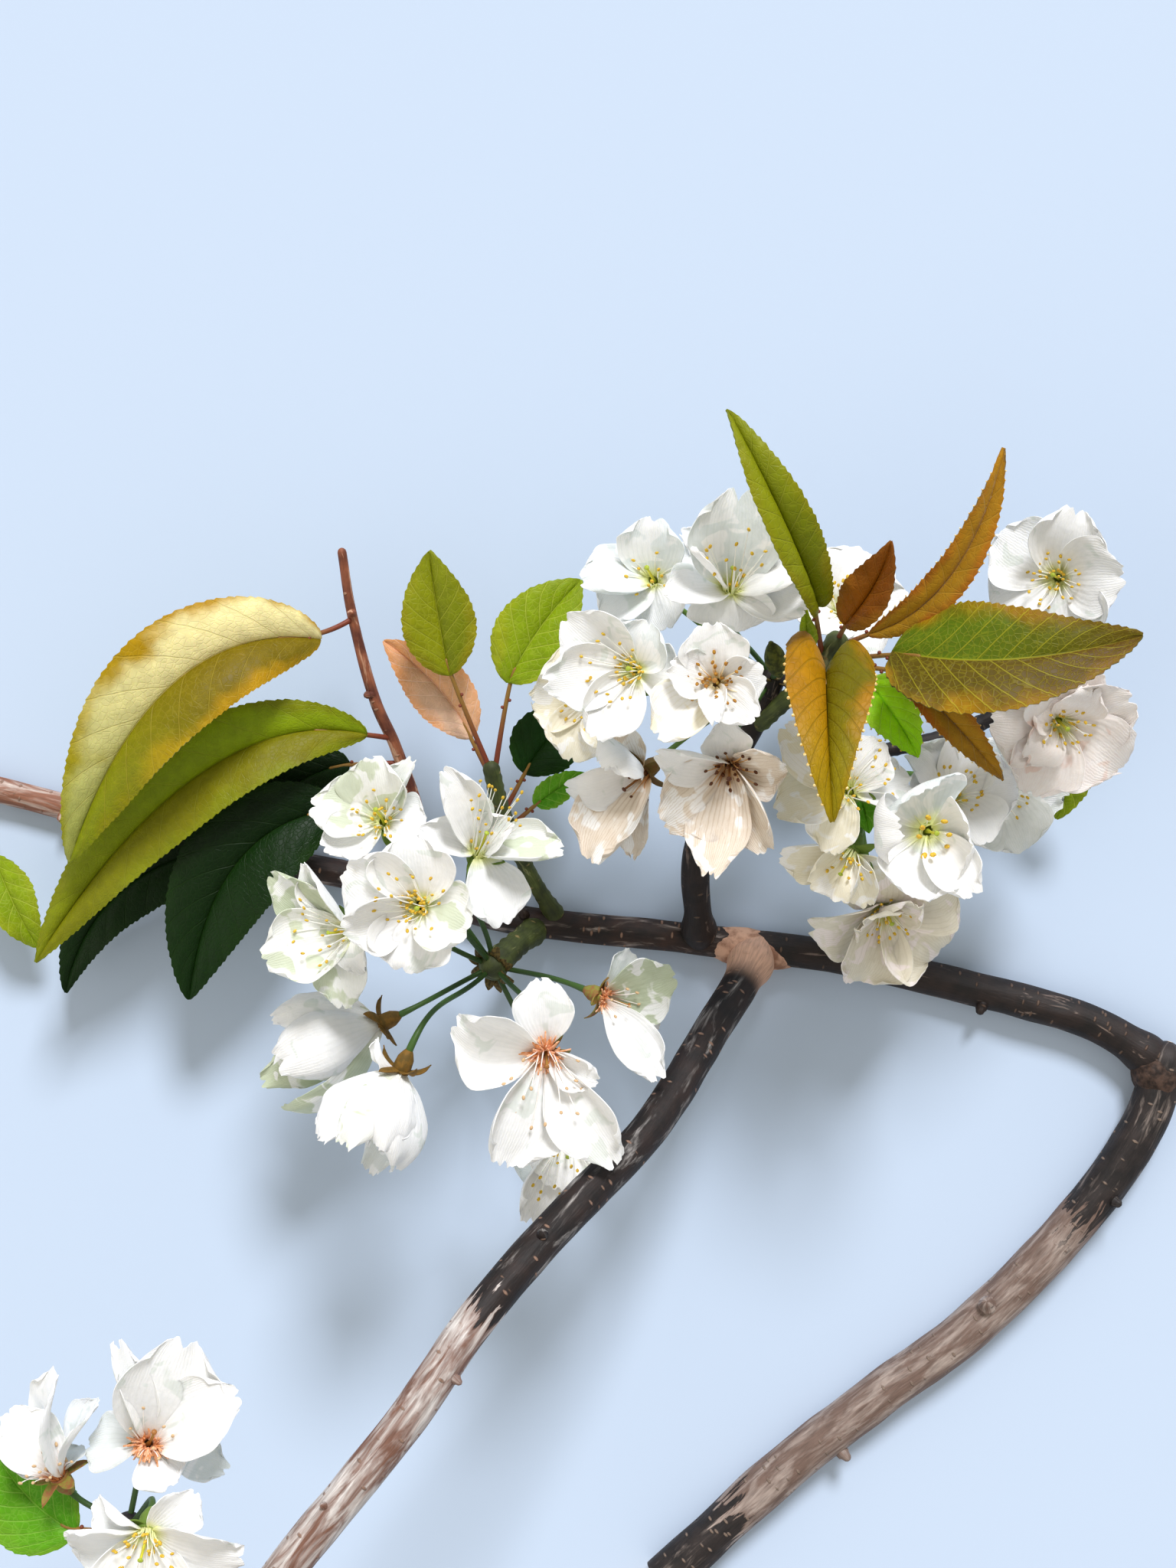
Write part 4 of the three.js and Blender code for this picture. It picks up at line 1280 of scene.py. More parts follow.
@dataclass(frozen=True)
class Bloom:
    """A bloom with its petals, stamens, calyx and stalk."""

    name: str
    on: str
    at: Point  # the middle of its petals
    lean: float  # degrees from straight up
    bearing: float  # degrees anticlockwise from +X that it leans to
    across: float
    cup: float
    turn: float
    tint: Tint = Tint.WHITE
    age: Age = Age.FRESH
    marks: tuple[Mark, ...] = ()  # its petals, where the picture shows each one
    inner: int = 0  # petals of a second whorl
    ruffle: float = 1.0
    width: float = 0.56
    closing: float = 0.0  # degrees that its petals stand further up than their solid's
    notch: float = 0.07
    taper: float = 0.85
    stamens: int = 22
    reach: float = 9.0  # length of the outer stamens
    spread: float = 46.0  # degrees that they lean
    sway: Point = (0, 0, 0)  # where they bend to, in millimetres
    bunch: int = 12  # short stamens in the middle
    tuft: float = 0.0  # radius of a tuft of withered threads
    anther: float = 1.0
    shown: float = 0.0  # how far its petals lie level, from 0 to 1

    @property
    def facing(self) -> Vector:
        """The way the bloom looks."""
        lean, bearing = math.radians(self.lean), math.radians(self.bearing)
        return Vector(
            (math.sin(lean) * math.cos(bearing), math.sin(lean) * math.sin(bearing), math.cos(lean))
        )

    @property
    def frame(self) -> Matrix:
        """Where the bloom stands."""
        turn = UP.rotation_difference(self.facing).to_matrix().to_4x4()
        return Matrix.Translation(Vector(self.at)) @ turn

    def marked_petal(self, mark: Mark, lap: int, dice: random.Random) -> Petal:
        """Lays a petal whose tip is where the picture shows it.

        Args:
            mark: where that is, and how the petal lies.
            lap: 1 or -1, the way that each petal laps over the next.
            dice: where its small differences come from.

        Returns:
            The petal.
        """
        at = Vector(self.at)
        tip = from_pixel(mark.x, mark.y, at.z + mark.rise)
        out = tip - at
        radial = (out - self.facing * out.dot(self.facing)).normalized()
        foot = at + radial * PETAL_FOOT
        chord = tip - foot
        ahead = chord.normalized()
        face = self.facing * ahead.dot(radial) - radial * ahead.dot(self.facing)
        face = face.lerp(UP * math.copysign(1, face.z), self.shown).normalized()
        pixel = (EYE_HEIGHT - tip.z) / PIXELS_PER_SLOPE
        return Petal(
            foot, (foot + tip) / 2 + face * chord.length * mark.hump, tip, face,
            mark.breadth * pixel / 2, mark.tint or self.tint, mark.notch,
            self.ruffle * dice.uniform(0.8, 1.2), mark.curl, lap * mark.roll, mark.folds,
            dice.uniform(0, 50), self.taper,
        )

    def whorled_petal(self, index: int, lap: int, dice: random.Random) -> Petal:
        """Lays a petal at its turn in the outer whorl, or in the inner one after that.

        Args:
            index: its number.
            lap: 1 or -1, the way that each petal laps over the next.
            dice: where its small differences come from.

        Returns:
            The petal.
        """
        is_inner = index >= PETALS
        step = 360 / PETALS * (index + (0.5 if is_inner else 0))
        length = self.across / 2 * (dice.uniform(0.72, 0.86) if is_inner else dice.uniform(0.98, 1.08))
        cup = self.cup + self.closing + (dice.uniform(14, 26) if is_inner else dice.uniform(-7, 9))
        spots = [Vector((PETAL_FOOT, 0, 0.5 if is_inner else dice.uniform(-0.2, 0.25)))]
        for bent in (PETAL_BOWL / 2, -PETAL_BOWL / 2):
            slope = math.radians(cup + bent)
            spots.append(spots[-1] + Vector((math.cos(slope), 0, math.sin(slope))) * length / 2)
        turn = Matrix.Rotation(math.radians(self.turn + step + dice.uniform(-6, 6)), 4, "Z")
        place = self.frame @ turn
        slope = math.radians(cup)
        return Petal(
            *(place @ spot for spot in spots),
            face=place.to_3x3() @ Vector((-math.sin(slope), 0, math.cos(slope))),
            half=length * self.width * dice.uniform(0.93, 1.07) * (0.8 if is_inner else 1),
            tint=self.tint,
            notch=self.notch * dice.uniform(0.3, 1.7),
            ruffle=self.ruffle * dice.uniform(0.8, 1.3),
            curl=dice.uniform(-0.8, 0.5),
            roll=lap * dice.uniform(6, 10),
            folds=(max(0.0, dice.uniform(-0.9, 1.4)), max(0.0, dice.uniform(-0.9, 1.4))),
            seed=dice.uniform(0, 50),
            taper=self.taper,
        )

    def petals(self) -> list[Petal]:
        """Lays all its petals, each a little its own way.

        Returns:
            The petals, in order.
        """
        dice = random.Random(self.name)
        lap = dice.choice((-1, 1))
        if self.marks:
            return [self.marked_petal(mark, lap, dice) for mark in self.marks]
        return [self.whorled_petal(index, lap, dice) for index in range(PETALS + self.inner)]

    def build_petals(self) -> None:
        """Makes the petals' piece, which stands for the bloom's solid."""
        form = new_form()
        petals = self.petals()
        tints = list(dict.fromkeys(petal.tint for petal in petals))
        for petal in petals:
            add_sheet(
                form, petal.spot, PETAL_COLUMNS, PETAL_ROWS, PETAL_THICKNESS, tints.index(petal.tint)
            )
        heart, age = self.age.value, self.age.name.lower()
        finishes = [
            PetalFinish(f"petal_{tint.name.lower()}_{age}", tint.value, heart.throat).material()
            for tint in tints
        ]
        finish_piece(self.name + "_petals", form, finishes, "blossom", self.name)

    def add_stamen(
        self, form: bmesh.types.BMesh, dice: random.Random, turn: float, lean: float, length: float,
        anther: float, finish: int,
    ) -> None:
        """Adds a filament with its anther.

        Args:
            form: the mesh it is added to, in the bloom's own frame.
            dice: where its small turns come from.
            turn: radians round the bloom.
            lean: radians from straight up.
            length: the filament's length in millimetres.
            anther: the size of its anther, of the usual one.
            finish: the material number of the anther.
        """
        sway = self.frame.to_3x3().inverted() @ Vector(self.sway) * (length / 12)
        out = Vector((math.cos(turn), math.sin(turn), 0))
        start = out * 1.7 + UP * 0.2
        end = start + turned(UP, out, lean) * length + sway
        loose = Vector((dice.uniform(-1, 1), dice.uniform(-1, 1), 0))
        control = start + (out * math.sin(lean * 0.4) + UP) * length * 0.5 + loose * 0.6
        thread = Course.arched(start, control, end)
        add_tube(form, thread, lambda _turn, along: FILAMENT_RADIUS - 0.07 * along, 5, 6)
        tilt = (end - control).normalized() + Vector((dice.uniform(-1, 1), dice.uniform(-1, 1), 0)) * 0.8
        breadth, depth, height = (size * anther for size in ANTHER)
        add_ball(form, end, (breadth, depth, height), tilt.normalized(), finish)

    def add_tuft(self, form: bmesh.types.BMesh, dice: random.Random) -> None:
        """Adds the withered threads in the middle of a faded bloom.

        Args:
            form: the mesh they are added to, in the bloom's own frame.
            dice: where their small turns come from.
        """
        threads = round(self.tuft * TUFT_THREADS)
        for index in range(threads):
            turn = math.radians(index * GOLDEN_TURN)
            lean = math.radians(72 * math.sqrt((index + 0.5) / threads) + dice.uniform(-20, 20))
            out = Vector((math.cos(turn), math.sin(turn), 0))
            loose = Vector((dice.uniform(-1, 1), dice.uniform(-1, 1), dice.uniform(-1, 1))) * 0.7
            end = out * 1.4 + turned(UP, out, lean) * self.tuft * dice.uniform(0.45, 1.1)
            thread = Course.arched(out * 1.4, out * 1.6 + UP * self.tuft * 0.5 + loose, end)
            add_tube(form, thread, lambda _turn, along: 0.33 - 0.1 * along, 5, 4, finish=4)

    def build_stamens(self) -> None:
        """Makes the stamens, with their anthers, and the pistil."""
        form = new_form()
        dice = random.Random(self.name + "stamens")
        for index in range(self.stamens):
            share = math.sqrt((index + 0.5) / self.stamens)
            turn = math.radians(index * GOLDEN_TURN + dice.uniform(-12, 12))
            lean = math.radians(self.spread * share + dice.uniform(-6, 6))
            length = self.reach * dice.uniform(0.8, 1.15) * (1.1 - 0.2 * share)
            self.add_stamen(form, dice, turn, lean, length, self.anther, 1)
        for index in range(self.bunch):
            turn = math.radians(index * GOLDEN_TURN + dice.uniform(-20, 20))
            lean = math.radians(dice.uniform(0, 38))
            self.add_stamen(form, dice, turn, lean, dice.uniform(2.6, 4.6), self.anther * 1.1, 3)
        self.add_tuft(form, dice)
        style = Course.arched(Vector((0, 0, -3)), Vector((0.4, 0, 3)), Vector((0.2, 0.7, 8.2)))
        add_tube(form, style, lambda _turn, along: 0.75 - 0.42 * ease(along, 0.15, 0.45), 8, 12, finish=2)
        add_ball(form, style.at(1), (0.75, 0.75, 0.4), UP, 2)
        bmesh.ops.transform(form, matrix=self.frame, verts=form.verts)
        heart, age = self.age.value, self.age.name.lower()
        finishes = [
            ThreadFinish(f"filament_{age}", heart.filament_foot, heart.filament_tip, 8).material(),
            GrainFinish(f"anther_{age}", heart.anther, heart.pollen, 0.35).material(),
            ThreadFinish(f"pistil_{age}", heart.cup, heart.pistil, 8).material(),
            GrainFinish(f"pollen_{age}", heart.pollen, heart.anther, 0.35).material(),
            GrainFinish("withered_threads", "f6c4a0", "d98e52", 1.3).material(),
        ]
        finish_piece(self.name + "_stamens", form, finishes, "blossom", crease=70)

    def add_cup(self, form: bmesh.types.BMesh) -> None:
        """Adds the cup under the petals, spun from its wall.

        Args:
            form: the empty mesh it is added to, in the bloom's own frame.
        """
        corners = [form.verts.new((radius, 0, height)) for radius, height in CUP_WALL]
        edges = [form.edges.new(pair) for pair in pairwise(corners)]
        bmesh.ops.spin(
            form, geom=[*corners, *edges], cent=(0, 0, 0), axis=UP, angle=math.tau, steps=20,
            use_merge=True,
        )
        bmesh.ops.remove_doubles(form, verts=form.verts, dist=WELD)
        bmesh.ops.recalc_face_normals(form, faces=form.faces)
        for face in form.faces:
            middle = face.calc_center_median()
            if middle.z > CUP_FLOOR and math.hypot(middle.x, middle.y) < CUP_INSIDE:
                face.material_index = 1

    def add_sepals(self, form: bmesh.types.BMesh) -> None:
        """Adds the five sepals round the cup.

        Args:
            form: the mesh they are added to, in the bloom's own frame.
        """
        dice = random.Random(self.name + "calyx")
        for index in range(PETALS):
            turn = Matrix.Rotation(
                math.radians(self.turn + 360 / PETALS * (index + 0.5) + dice.uniform(-8, 8)), 3, "Z"
            )
            droop = math.radians(dice.uniform(-35, 25))

            def shape(across: float, along: float, turn: Matrix = turn, droop: float = droop) -> Vector:
                """Shapes a pointed sepal that bends back.

                Args:
                    across: how far across it, from -1 to 1.
                    along: how far along it, from 0 to 1.
                    turn: where it stands round the cup.
                    droop: radians that its tip bends.

                Returns:
                    The place in the bloom's own frame.
                """
                half = 1.6 * math.cos(math.pi / 2 * along**1.6) ** 0.8 + 0.04
                reach = 2.1 + SEPAL_LENGTH * along * math.cos(droop * along)
                height = -0.7 + SEPAL_LENGTH * along * math.sin(droop * along) + 0.3 * across**2
                return turn @ Vector((reach, across * half, height))

            add_sheet(form, shape, 4, 8, SEPAL_THICKNESS, finish=2)

    def build_calyx(self) -> None:
        """Makes the cup under the petals, its five sepals and the stalk."""
        form = new_form()
        self.add_cup(form)
        self.add_sepals(form)
        bmesh.ops.transform(form, matrix=self.frame, verts=form.verts)
        stalk = self.stalk()
        add_tube(
            form, stalk, lambda _turn, along: PEDICEL_RADIUS * (1 + 0.35 * ease(along, 0.8, 1)), 10,
            max(8, round(stalk.length / 2)), finish=3,
        )
        heart, age = self.age.value, self.age.name.lower()
        stalk_look = STALKS.get(self.on, STALKS["left_spur"])
        finishes = [
            GrainFinish(f"calyx_{age}", heart.calyx, heart.sepal, 1.6).material(),
            GrainFinish(f"calyx_cup_{age}", heart.cup, heart.throat, 1.2).material(),
            GrainFinish(f"sepal_{age}", heart.sepal, heart.calyx, 1.6).material(),
            stalk_look.material(),
        ]
        finish_piece(self.name + "_calyx", form, finishes, "blossom", crease=60)

    def stalk(self) -> Course:
        """Lays the stalk's line, from its limb's tip into the foot of the calyx.

        Returns:
            The line.
        """
        limb = next(limb for limb in LIMBS if limb.name == self.on)
        tip = Vector(limb.path[-1])
        foot = Vector(self.at) - self.facing * (CALYX_LENGTH - 1)
        span = (foot - tip).length
        lead = ((foot - tip) * PEDICEL_SPREAD).normalized()
        start = tip + lead * STALK_SINK * limb.diameters[1] / 2
        return Course.bent(start, tip + lead * span * 0.4, foot - self.facing * span * 0.35, foot)

    def build(self) -> None:
        """Makes the bloom's three pieces."""
        self.build_petals()
        self.build_stamens()
        self.build_calyx()


STALKS = {
    "left_spur": ThreadFinish("stalk_dark_green", "2f4a1c", "3f5f24", 40),
    "upright_shoot": ThreadFinish("stalk_green", "34521e", "5d7d30", 40),
    # Painted light: the side spur's stalks are a lighter green, as where they lie in the sun.
    "side_spur": ThreadFinish("stalk_green_painted_light", "44662a", "6f9038", 40),
}

BLOOMS = (
    Bloom("left_bloom_1", "left_spur", (-43, -31, 80), 8, 250, 38, 14, 10, bunch=34, stamens=22,
          reach=11, sway=(-3, 3, 0), marks=(
              Mark(450, 1132, 118, 6), Mark(536, 1092, 132, 6, folds=(0.3, 1.0)),
              Mark(613, 1216, 116, 5, Tint.SAGE_SHADE_DAPPLED, folds=(1.6, 0.3)), Mark(524, 1270, 120, 4),
              Mark(446, 1214, 96, 8, folds=(1.4, 0.4)))),
    Bloom("left_bloom_2", "left_spur", (-54, -10, 65), 22, 120, 38, 24, 40, Tint.SAGE_SHADE_DAPPLED, marks=(
        Mark(404, 1052, 92, 5, folds=(0.2, 1.0)), Mark(486, 988, 104, 8),
        Mark(540, 990, 54, 9, folds=(1.5, 1.0)),
        Mark(556, 1078, 84, 4, Tint.WHITE), Mark(424, 1112, 78, 6, Tint.WHITE, curl=0.9))),
    Bloom("left_bloom_3", "left_spur", (-29, -18, 66), 40, 62, 38, 26, 0, reach=13, spread=30,
          sway=(2, 5, 2), bunch=8, shown=0.3, marks=(
              Mark(577, 1003, 74, 14, folds=(1.4, 0.6)), Mark(546, 1086, 66, 10, folds=(1.2, 1.0)),
              Mark(606, 1024, 60, 6, Tint.SAGE_SHADE_DAPPLED), Mark(670, 1072, 66, 9, folds=(0.4, 1.4)),
              Mark(737, 1110, 80, 6, Tint.SAGE_SHADE_DAPPLED, folds=(1.2, 1.0)), Mark(656, 1210, 98, 3))),
    Bloom("left_bloom_4", "left_spur", (-63, -39, 60), 44, 190, 42, 28, 20, Tint.WHITE, reach=12,
          sway=(-5, 0, 0), bunch=6, shown=0.4, marks=(
              Mark(350, 1142, 78, 4, Tint.SAGE), Mark(343, 1256, 112, 6, Tint.SAGE_SHADE_DAPPLED, folds=(0.3, 1.2)),
              Mark(448, 1318, 82, 4, Tint.SAGE_SHADE_DAPPLED), Mark(394, 1126, 64, 9, folds=(1.4, 1.0)),
              Mark(474, 1272, 56, 8, folds=(1.0, 1.0)), Mark(520, 1180, 60, -2))),
    Bloom("left_bloom_5", "left_spur", (-57, -66, 44), 96, 206, 52, 50, 30, age=Age.CLOSED, ruffle=1.5,
          stamens=10, bunch=0, shown=0.35, marks=(
              Mark(344, 1322, 62, 8, hump=-0.12, curl=0.6), Mark(398, 1302, 66, -4, Tint.SAGE, hump=-0.1),
              Mark(356, 1392, 122, 12, hump=-0.2, folds=(1.0, 1.2)),
              Mark(339, 1416, 76, 2, Tint.SAGE, hump=-0.1),
              Mark(372, 1474, 92, -2, Tint.SAGE, hump=-0.14, curl=0.5))),
    Bloom("left_bloom_6", "left_spur", (-49, -75, 70), 96, 247, 52, 50, 66, age=Age.CLOSED, ruffle=1.5,
          stamens=10, bunch=0, shown=0.2, marks=(
              Mark(492, 1356, 40, 3, folds=(1.4, 1.4)), Mark(528, 1540, 90, 6, hump=-0.14, curl=0.5),
              Mark(414, 1490, 88, 8, hump=-0.15, folds=(1.3, 0.6)),
              Mark(478, 1532, 92, -4, Tint.SHADE_GREY, hump=-0.12),
              Mark(500, 1506, 84, 11, hump=-0.2, folds=(0.8, 1.4)),
              Mark(448, 1500, 84, 12, Tint.SAGE_SHADE_DAPPLED, hump=-0.18, folds=(0.8, 1.6)))),
    Bloom("left_bloom_7", "left_spur", (-11, -69, 76), 26, 275, 46, 16, 18, age=Age.FADED, ruffle=1.4,
          taper=1.3, stamens=18, reach=12, spread=58, sway=(0, -6, 0), bunch=0, tuft=5.6, marks=(
              Mark(587, 1346, 128, 8, curl=-0.6, folds=(0.2, 1.2)), Mark(707, 1277, 88, 5),
              Mark(655, 1523, 128, 4, folds=(1.2, 0.2)), Mark(783, 1412, 64, 6, folds=(1.6, 1.2)),
              Mark(806, 1522, 104, 3, folds=(0.3, 1.2)))),
    Bloom("left_bloom_8", "left_spur", (-6, -98, 43), 30, 275, 36, 24, 50, Tint.MIST, ruffle=1.6,
          reach=12, sway=(0, -6, 0), bunch=4, marks=(
              Mark(690, 1590, 100, 3, Tint.WHITE, folds=(1.6, 0.4), curl=0.8),
              Mark(730, 1556, 96, 6, Tint.WHITE, folds=(0.4, 1.6)), Mark(766, 1584, 104, 1),
              Mark(662, 1506, 84, 0), Mark(806, 1486, 84, 0, Tint.WHITE))),
    Bloom("left_bloom_9", "left_spur", (4, -58, 50), 62, 340, 42, 28, 0, Tint.SHADE_GREY, Age.FADED,
          ruffle=1.3, taper=1.2, stamens=12, bunch=0, tuft=3.4, shown=0.6, marks=(
              Mark(882, 1274, 112, 2, Tint.SAGE), Mark(862, 1414, 72, 8, Tint.WHITE, folds=(0.3, 1.0)),
              Mark(858, 1350, 70, -5), Mark(824, 1240, 56, -2))),
    Bloom("right_bloom_1", "upright_shoot", (36, 49, 86), 32, 90, 44, 25, 18, reach=12, spread=36,
          sway=(0, 5, 1), bunch=8, marks=(
              Mark(966, 636, 140, 14, Tint.MIST, notch=0.14), Mark(888, 694, 74, 12, folds=(1.2, 1.0)),
              Mark(868, 780, 90, 8), Mark(956, 826, 124, 4), Mark(1050, 808, 80, 8, curl=0.8),
              Mark(1066, 738, 88, 10, folds=(0.4, 1.4)))),
    Bloom("right_bloom_2", "upright_shoot", (17, 53, 72), 20, 140, 38, 20, 30, stamens=10, bunch=4, marks=(
        Mark(854, 675, 98, 10, Tint.MIST), Mark(757, 758, 96, 8, Tint.MIST, folds=(0.3, 1.2)),
        Mark(788, 812, 84, 6), Mark(872, 822, 76, 3), Mark(915, 744, 80, 2))),
    Bloom("right_bloom_3", "upright_shoot", (12, 29, 82), 16, 200, 38, 16, 0, ruffle=1.2, sway=(-5, 0, 0),
          reach=11, bunch=26, marks=(
              Mark(736, 806, 108, 6), Mark(708, 888, 96, 8, curl=0.8), Mark(848, 812, 104, 8, Tint.MIST),
              Mark(892, 884, 84, 11, hump=-0.1, curl=0.6), Mark(776, 966, 96, 6, folds=(1.2, 0.4)))),
    Bloom("right_bloom_4", "upright_shoot", (32, 25, 96), 10, 200, 32, 30, 50, age=Age.RIPE, stamens=26,
          reach=8, spread=58, bunch=14, marks=(
              Mark(931, 812, 100, 8), Mark(1000, 880, 82, 6, folds=(0.4, 1.2)),
              Mark(990, 940, 76, 10, folds=(1.0, 0.4)), Mark(934, 946, 50, 12, folds=(1.2, 1.2)),
              Mark(856, 962, 100, 4, Tint.CREAM_SHADE, folds=(0.3, 1.2)), Mark(872, 870, 72, 7))),
    Bloom("right_bloom_5", "upright_shoot", (15, 3, 64), 64, 222, 42, 28, 0, Tint.BEIGE_SHADE, Age.SPENT,
          ruffle=1.4, stamens=8, bunch=0, shown=0.5, marks=(
              Mark(774, 990, 98, 14, Tint.WHITE, hump=-0.3, curl=0.6),
              Mark(736, 1036, 62, 4, Tint.WHITE, curl=-0.8),
              Mark(770, 1126, 118, 7, folds=(0.3, 0.9)), Mark(824, 1122, 60, -3), Mark(812, 950, 56, 0))),
    Bloom("right_bloom_6", "upright_shoot", (36, 5, 80), 32, 262, 44, 26, 18, Tint.BEIGE_SHADE, Age.SPENT,
          ruffle=1.4, stamens=26, reach=8, spread=56, bunch=10, marks=(
              Mark(856, 984, 70, 14, Tint.WHITE, folds=(1.8, 0.5)), Mark(866, 1078, 122, 6),
              Mark(926, 1140, 92, 4, Tint.BEIGE_SHADE, curl=0.9), Mark(1004, 1114, 86, 6, folds=(0.3, 1.2)),
              Mark(1028, 1000, 92, 8, Tint.BEIGE_SHADE, folds=(1.2, 0.3)), Mark(946, 940, 72, 12, Tint.WHITE))),
    Bloom("right_bloom_7", "upright_shoot", (2, 23, 52), 30, 190, 34, 24, 36, Tint.CREAM_SHADE),
    Bloom("side_bloom_1", "side_spur", (86, -12, 86), 8, 300, 38, 48, 0, Tint.MIST, stamens=8, reach=7,
          spread=34, bunch=0, anther=1.7, marks=(
              Mark(1204, 1020, 136, 14, hump=-0.22, curl=0.5),
              Mark(1140, 1088, 100, 16, Tint.WHITE, hump=-0.26, curl=1.2),
              Mark(1196, 1176, 122, 12, Tint.WHITE, hump=-0.14),
              Mark(1274, 1172, 84, 8, Tint.WHITE, folds=(1.2, 0.8)),
              Mark(1276, 1094, 116, 13, Tint.WHITE, hump=-0.16, curl=0.4))),
    Bloom("side_bloom_2", "side_spur", (68, -2, 72), 30, 130, 38, 26, 20, Tint.CREAM_SHADE, reach=12,
          sway=(5, 1, 0), bunch=6, marks=(
              Mark(1022, 948, 92, 1), Mark(1012, 1062, 104, 4), Mark(1152, 966, 96, 5, Tint.WHITE),
              Mark(1190, 1024, 78, 1, Tint.WHITE), Mark(1084, 1116, 84, 2))),
    Bloom("side_bloom_3", "side_spur", (70, -18, 62), 60, 240, 34, 34, 0, Tint.CREAM_SHADE, shown=0.4, marks=(
        Mark(1018, 1117, 76, 4, folds=(1.4, 0.3)), Mark(1056, 1156, 78, 5),
        Mark(1098, 1180, 78, 4, folds=(0.3, 1.4)),
        Mark(1136, 1184, 72, 1), Mark(1158, 1144, 66, -3))),
    Bloom("side_bloom_4", "side_spur", (97, -4, 56), 30, 60, 36, 26, 0),
    Bloom("side_bloom_5", "side_spur", (82, -34, 38), 40, 285, 44, 24, 36, Tint.KHAKI_SHADE, inner=2, ruffle=1.4),
    Bloom("side_bloom_6", "side_spur", (113, -1, 37), 26, 330, 38, 24, 0, Tint.SHADE_GREY, ruffle=1.2),
    Bloom("side_bloom_7", "side_spur", (70, 47, 44), 24, 80, 36, 24, 0),
    Bloom("far_bloom_1", "far_twig", (128, 56, 50), 26, 190, 40, 20, 0),
    Bloom("far_bloom_2", "far_twig", (125, 17, 61), 24, 280, 40, 20, 30, Tint.PALE, inner=3, ruffle=1.4),
    Bloom("low_bloom_1", "low_twig", (-108, -162, 100), 38, 58, 46, 28, 18, age=Age.FADED, stamens=12,
          bunch=0, tuft=5.0, sway=(0, 3, 0), marks=(
              Mark(242, 1748, 148, 8), Mark(314, 1822, 110, 8), Mark(148, 1752, 60, 12, folds=(1.8, 1.0)),
              Mark(114, 1892, 88, -2, Tint.SHADE_GREY), Mark(222, 1946, 84, 9, hump=-0.15),
              Mark(294, 1922, 60, -6, Tint.MIST))),
    Bloom("low_bloom_2", "low_twig", (-130, -170, 100), 64, 115, 38, 34, 0, age=Age.FADED, marks=(
        Mark(73, 1790, 126, 6), Mark(130, 1832, 84, 4), Mark(8, 1842, 88, 2),
        Mark(30, 1894, 64, -4, Tint.SHADE_GREY),
        Mark(112, 1892, 60, -5, Tint.SHADE_GREY))),
    Bloom("low_bloom_3", "low_twig", (-104, -176, 119), 34, 270, 44, 20, 18, ruffle=1.2, marks=(
        Mark(84, 2006, 104, 3), Mark(180, 2084, 140, 1), Mark(320, 2030, 112, 2), Mark(256, 1950, 76, 2),
        Mark(126, 1956, 64, 2, folds=(1.2, 1.2)))),
)


@dataclass(frozen=True)
class Bud:
    """A bud that is still shut, on a stalk of its own."""

    name: str
    on: str
    foot: Point
    tip: Point
    radius: float

    def build(self) -> None:
        """Makes the bud and its stalk."""
        form = new_form()
        limb = next(limb for limb in LIMBS if limb.name == self.on)
        start, foot, tip = Vector(limb.path[-1]), Vector(self.foot), Vector(self.tip)
        stalk = Course.arched(start, start.lerp(foot, 0.5), foot.lerp(tip, 0.1))
        add_tube(form, stalk, lambda _turn, _along: PEDICEL_RADIUS, 10, 12)

        def girth(turn: float, along: float) -> float:
            """An egg whose scales leave a few soft ridges."""
            egg = math.sin(math.pi * (0.06 + 0.9 * along**0.9)) ** 0.6
            return self.radius * egg * (1 + 0.05 * math.cos(3 * turn + 5 * along))

        body = Course.arched(foot, foot.lerp(tip, 0.5), tip)
        add_tube(form, body, girth, 24, 20, finish=1)
        husk = GrainFinish("shut_bud", "5a5f1c", "33380f", 1.4)
        finishes = [STALKS["left_spur"].material(), husk.material()]
        finish_piece(self.name, form, finishes, "green_twig")


BUDS = (Bud("shoot_bud", "upright_shoot", (49.8, 28.5, 73), (47, 36, 79), 2.8),)


# Leaves

LEAF_TIP = 0.03  # how broad its very tip is, of its width
LEAF_ROW_SPACING = 0.62
LEAF_COLUMNS = 18
LEAF_THICKNESS = 0.45
QUILTING = 1.1  # how far the blade bulges between its veins
MIDRIB_DEPTH = 0.35
TWIST = 14  # degrees that a blade turns along its length, each way
PETIOLE_SINK = 0.12  # how far up the blade the petiole's end lies
PETIOLE_RADIUS = 0.8
GLANDS = ((0.62, -1), (0.7, 1))  # share along the petiole, and side
GLAND_RADIUS = 0.55
TOOTH_SPACING = 2.2
LOBE_END = 0.3  # how far up the blade a rounded base reaches


